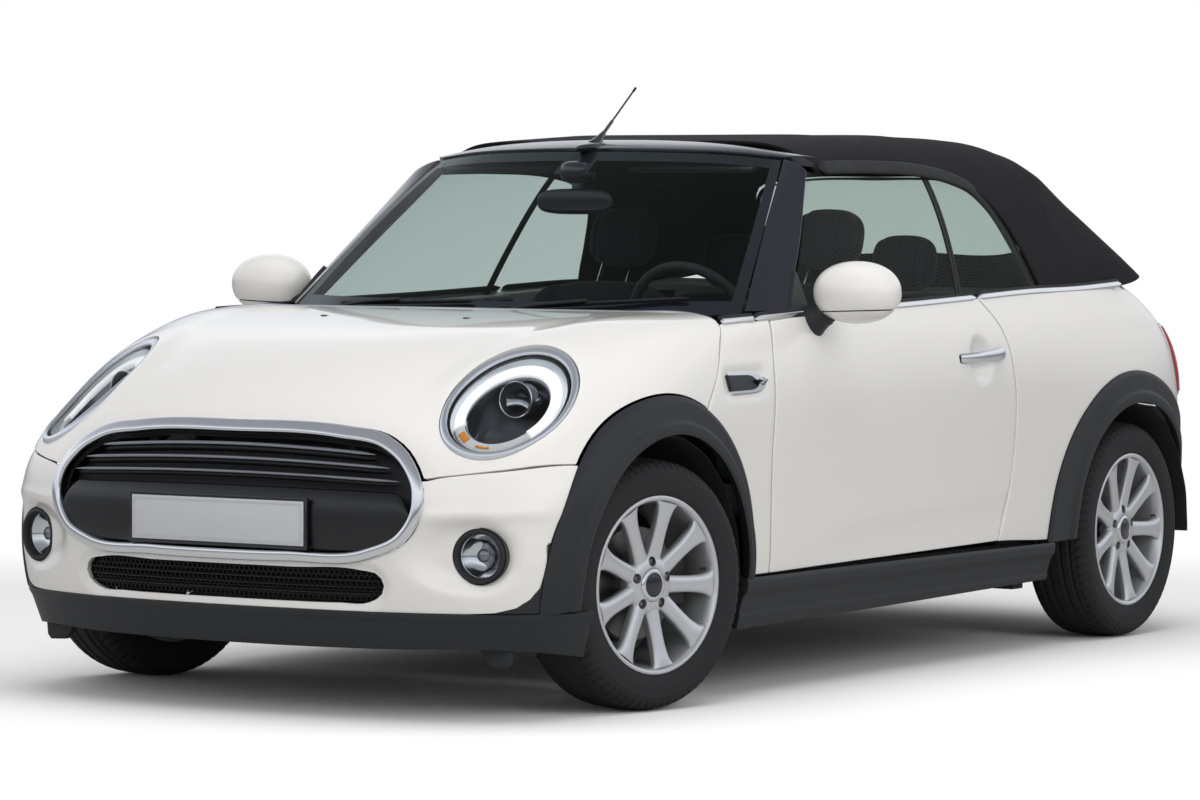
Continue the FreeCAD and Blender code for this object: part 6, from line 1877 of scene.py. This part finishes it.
def make_steering_wheel():
    place = Matrix.Translation((345, -250, 900)) @ Matrix.Rotation(math.radians(24 - 90), 4, "X")
    turns = 120

    def rim(u, v):
        angle, turn = u * TURN, v * TURN
        grip = 14 + 1.6 * (np.exp(-((np.abs(np.cos(angle)) - 0.93) / 0.05) ** 2))
        out = 180 + np.cos(turn) * grip
        return np.stack([np.cos(angle) * out, np.sin(angle) * out, np.sin(turn) * grip * 0.92], axis=1)
    ring = closed(sheet(turns, 20, rim))
    pad = cushion((74, 66, 24), 2.8, 16, Matrix.Translation((0, 6, -14)), lambda points: points)
    arms = [ribbon([(s * 60, 6, -16), (s * 120, 2, -10), (s * 172, -4, 0)], 15, 7, 24, (0, 0, 1))
            for s in (-1, 1)]
    arms.append(ribbon([(0, 60, -16), (0, 120, -10), (0, 172, 0)], 18, 7, 24, (0, 0, 1)))
    column = rod((0, 0, -250), (0, 0, -20), 30, 26)
    whole = merged(ring, pad, *arms, column)
    whole.transform(place)
    piece("steering_wheel_rim", whole, "cabin_plastic", "steering_wheel", 50, "steering")


def make_inner_mirror():
    glass = moved(cube_sphere((118, 15, 34), 3.2, 14), (0, -296, 1233))
    sensor = moved(cube_sphere((44, 42, 30), 2.8, 12), (0, -282, 1312))
    stalk = rod((0, -294, 1250), (0, -282, 1300), 11, 15)
    piece("inner_mirror_and_sensor", merged(glass, sensor, stalk), "gloss_black", "inner_mirror", sharp=50)
    tilt = Matrix.Rotation(math.radians(12), 3, "X")
    visors = [eased(block((x - 190, -215, 1325), (x + 190, -60, 1338), tilt), 5) for x in (-300, 300)]
    piece("sun_visors", merged(*visors), "carpet")


# Underside and arches

LINER_RADIUS = 357
COATED_NODES = {"painted_steel": ("front_subframe", "rear_axle", "bulkhead", "front_rails"),
                "caliper_grey": ("knuckle_left", "knuckle_right", "engine"),
                "carpet": ("floor",), "underbody": ("fuel_tank",)}


def make_underside():
    """Arch liners, silencer and tail pipes, and coatings on the solids that stay as they are."""
    def liner(place, x_low, x_high, start, end):
        def shape(u, v):
            angle = np.radians(start + (end - start) * u)
            reach = LINER_RADIUS + 1.5 * np.cos(u * 60)
            return np.stack([x_low + (x_high - x_low) * v, place + np.cos(angle) * reach,
                             ARCH_HEIGHT + np.sin(angle) * reach], axis=1)
        mesh = sheet(90, 8, shape)
        mesh.normal_update()
        return thick(turned_out(mesh, (700, place, ARCH_HEIGHT)), 3, 1)
    liners = merged(liner(-FRONT_AXLE, 560, 826, -2, 186), liner(REAR_AXLE, 600, 838, -4, 180))
    piece("arch_liners", both(liners), "underbody")
    can = eased(rod((-250, 1690, 300), (250, 1690, 300), 78, 78, 48), 14, 4)
    pipe = rod((0, 1690, 290), (0, 1850, 262), 24)
    piece("silencer", merged(can, pipe), "iron_with_painted_shade")
    tips = [lathe([(0, 30), (70, 33), (74, 31), (72, 28), (10, 26), (0, 26)], 48, (0, 1, -0.1), (x, 1800, 258))
            for x in (-40, 40)]
    piece("exhaust_tips", merged(*tips), "chrome")
    for finish, nodes in COATED_NODES.items():
        for slot in [slot for node in nodes for slot in frame["nodes"][node].material_slots]:
            slot.material = FINISHES[finish]


# Stage

CAMERA_PLACE = (7.0511, -11.1285, 1.2200)
CAMERA_TURN = math.radians(32.852)
CAMERA_DIP = math.radians(2.2856)
CAMERA_ROLL = math.radians(0.24)
CAMERA_LENS = 145.42
GLOSSY_SKY = [(0.0, (0.1, 0.1, 0.11)), (1.0, (0.3, 0.31, 0.34)), (0.48, (0.13, 0.14, 0.16)),
              (0.515, (0.27, 0.29, 0.33)), (0.56, (0.72, 0.75, 0.82)), (0.7, (0.95, 0.97, 1.0)),
              (0.79, (0.5, 0.53, 0.6)), (0.86, (0.34, 0.36, 0.4))]


def make_stage(light):
    level = math.cos(CAMERA_DIP)
    forward = Vector((-math.sin(CAMERA_TURN) * level, math.cos(CAMERA_TURN) * level, -math.sin(CAMERA_DIP)))
    right = forward.cross(Vector((0, 0, 1))).normalized()
    up = right.cross(forward)
    rolled = math.cos(CAMERA_ROLL) * right + math.sin(CAMERA_ROLL) * up
    upright = -math.sin(CAMERA_ROLL) * right + math.cos(CAMERA_ROLL) * up
    data = bpy.data.cameras.new("camera")
    data.lens = CAMERA_LENS
    data.sensor_width = 36
    data.clip_end = 200
    camera = bpy.data.objects.new("camera", data)
    bpy.context.scene.collection.objects.link(camera)
    turn = Matrix((rolled, upright, -forward)).transposed()
    camera.matrix_world = Matrix.Translation(CAMERA_PLACE) @ turn.to_4x4()
    bpy.context.scene.camera = camera

    mesh = bmesh.new()
    bmesh.ops.create_grid(mesh, x_segments=1, y_segments=1, size=60)
    data = bpy.data.meshes.new("floor_plane")
    mesh.to_mesh(data)
    mesh.free()
    ground = Finish("floor_white")
    spots = ground.noise(0.6, 2)
    path = ground.node("ShaderNodeLightPath", output="Is Camera Ray")
    pale = ground.blend(spots, (0.985, 0.985, 0.985), (1, 1, 1))
    ground.set(Base_Color=ground.blend(path, (0.5, 0.5, 0.5), pale), Roughness=0.9)
    ground.fill(ground.shader.socket.node.inputs["Specular IOR Level"], 0.0)
    apart = ground.node("ShaderNodeVectorMath", {"operation": "LENGTH"}, {0: ground.place}, output="Value")
    white = ground.node("ShaderNodeEmission", None, {"Color": (1, 1, 1), "Strength": 1.0})
    far = apart.between(2.6, 4.6) * path
    ground.show(ground.node("ShaderNodeMixShader", None, {0: far, 1: ground.shader, 2: white}))
    data.materials.append(ground.material)
    floor = bpy.data.objects.new("floor_plane", data)
    floor.location.z = CAD_BOX[0][2] - 0.0005
    bpy.context.scene.collection.objects.link(floor)

    world = bpy.data.worlds.new("studio")
    bpy.context.scene.world = world
    sky = Nodes(world)
    heading = sky.node("ShaderNodeTexCoord", output="Generated")
    height = sky.node("ShaderNodeSeparateXYZ", None, {0: heading}, output="Z")
    height = sky.node("ShaderNodeMapRange", None, {"Value": height, "From Min": -1})
    ramp = sky.node("ShaderNodeValToRGB", None, {0: height})
    stops = ramp.socket.node.color_ramp.elements
    for index, (spot, colour) in enumerate(GLOSSY_SKY):
        mark = stops[index] if index < 2 else stops.new(spot)
        mark.position = spot
        mark.color = (*colour, 1)
    shown = sky.node("ShaderNodeBackground", None, {"Color": (1, 1, 1), "Strength": light.fill})
    glossy = sky.node("ShaderNodeBackground", None, {"Color": ramp, "Strength": 1.0})
    white = sky.node("ShaderNodeBackground", None, {"Color": (1, 1, 1), "Strength": 1.0})
    for ray, shader in (("Glossy", glossy), ("Transmission", white), ("Camera", white)):
        path = sky.node("ShaderNodeLightPath", output=f"Is {ray} Ray")
        shown = sky.node("ShaderNodeMixShader", None, {0: path, 1: shown, 2: shader})
    out = sky.tree.nodes.new("ShaderNodeOutputWorld")
    sky.tree.links.new(shown.socket, out.inputs[0])

    for name, place, size, power in (("top_light", (0.5, -1.0, 6.5), 7.0, light.top),
                                     ("side_light", (7.5, -2.5, 3.4), 4.5, light.side),
                                     ("nose_light", (1.5, -8.5, 3.6), 4.5, light.nose)):
        data = bpy.data.lights.new(name, "AREA")
        data.shape = "DISK"
        data.size = size
        data.energy = power
        lamp = bpy.data.objects.new(name, data)
        lamp.location = place
        lamp.visible_glossy = False
        lamp.rotation_euler = (Vector((0, 0, 0.5)) - Vector(place)).to_track_quat("-Z", "Y").to_euler()
        bpy.context.scene.collection.objects.link(lamp)
    bpy.context.scene.view_settings.view_transform = "Standard"


# The add-on

class CarColours(bpy.types.PropertyGroup):
    """Colours of the car's main finishes."""
    paint: FloatVectorProperty(name="Paint", description="Body paint", subtype="COLOR", size=3, min=0, max=1,
                               default=(0.81, 0.795, 0.765))
    wheels: FloatVectorProperty(name="Wheels", description="Lacquer of the wheels", subtype="COLOR", size=3, min=0,
                                max=1, default=(0.66, 0.67, 0.69))
    canopy: FloatVectorProperty(name="Canopy", description="Cloth of the folding top", subtype="COLOR", size=3,
                                min=0, max=1, default=(0.0095, 0.0095, 0.011))


class CarLight(bpy.types.PropertyGroup):
    """Strengths of the studio's lights."""
    fill: FloatProperty(name="Fill", description="Strength of the light from all round", min=0, default=0.53)
    top: FloatProperty(name="Top", description="Power of the light overhead", min=0, default=200, unit="POWER")
    side: FloatProperty(name="Side", description="Power of the light at the side", min=0, default=165, unit="POWER")
    nose: FloatProperty(name="Nose", description="Power of the light in front", min=0, default=125, unit="POWER")


class MakeFinishes(bpy.types.Operator):
    """Make the car's materials"""
    bl_idname = "car.make_finishes"
    bl_label = "Finishes"

    def execute(self, context):
        make_finishes(context.scene.car_colours)
        return {"FINISHED"}


class MakeStage(bpy.types.Operator):
    """Set up the floor, the lights and the camera"""
    bl_idname = "car.make_stage"
    bl_label = "Stage"

    def execute(self, context):
        make_stage(context.scene.car_light)
        return {"FINISHED"}


def maker(idname, label, text, *steps):
    """An operator that makes one group of pieces."""
    def execute(self, context):
        for step in steps:
            step()
        return {"FINISHED"}
    return type("CAR_OT_" + idname, (bpy.types.Operator,),
                {"bl_idname": "car." + idname, "bl_label": label, "__doc__": text, "execute": execute})


PIECE_MAKERS = [
    maker("make_front", "Front panels", "Make the bonnet and the front bumper", make_bonnet, make_front_bumper),
    maker("make_sides", "Side panels", "Make the scuttles, doors and rear quarters", make_scuttles, make_doors,
          make_rear_quarters),
    maker("make_rear", "Rear panels", "Make the tailgate and the rear bumper", make_tailgate, make_rear_bumper),
    maker("make_claddings", "Claddings", "Make the arch bands, sills and skirts", make_claddings,
          make_lower_skirts),
    maker("make_grille", "Grille", "Make the grille, its surround and the lower intake", make_grille),
    maker("make_plates", "Plates", "Make the blank number plates", make_plates),
    maker("make_lamps", "Lamps", "Make the head, fog and tail lamps", make_headlamps, make_fog_lamps,
          make_tail_lamps),
    maker("make_glass", "Glass", "Make the windscreen and the side windows", make_glass),
    maker("make_frame", "Windscreen frame", "Make the pillars, the header and the cowl", make_frame),
    maker("make_canopy", "Canopy", "Make the folding top and its rear window", make_canopy),
    maker("make_trim", "Trim", "Make the strips, handles, indicators, nozzles and wipers", make_trim),
    maker("make_mirrors", "Mirrors", "Make the door mirrors and the antenna", make_mirrors, make_antenna),
    maker("make_wheels", "Wheels", "Make the tyres, rims, discs and bolts", make_wheels),
    maker("make_cabin", "Cabin", "Make the seats, trim, dashboard and steering wheel", make_seats,
          make_cabin_trim, make_dashboard, make_steering_wheel, make_inner_mirror),
    maker("make_underside", "Underside", "Make the arch liners and the exhaust", make_underside),
]


class CarPanel(bpy.types.Panel):
    """The car's settings and its pieces"""
    bl_idname = "CAR_PT_panel"
    bl_label = "Convertible car"
    bl_space_type = "VIEW_3D"
    bl_region_type = "UI"
    bl_category = "Car"

    def draw(self, context):
        scene = context.scene
        for name in ("paint", "wheels", "canopy"):
            self.layout.prop(scene.car_colours, name)
        for name in ("fill", "top", "side", "nose"):
            self.layout.prop(scene.car_light, name)
        for operator in OPERATORS:
            self.layout.operator(operator.bl_idname)


OPERATORS = [MakeFinishes, *PIECE_MAKERS, MakeStage]
CLASSES = [CarColours, CarLight, *OPERATORS, CarPanel]


def register():
    for one in CLASSES:
        bpy.utils.register_class(one)
    bpy.types.Scene.car_colours = PointerProperty(type=CarColours)
    bpy.types.Scene.car_light = PointerProperty(type=CarLight)


def unregister():
    del bpy.types.Scene.car_light
    del bpy.types.Scene.car_colours
    for one in reversed(CLASSES):
        bpy.utils.unregister_class(one)


def main():
    register()
    for operator in OPERATORS:
        getattr(bpy.ops.car, operator.bl_idname.split(".")[1])()


if __name__ == "__main__":
    main()
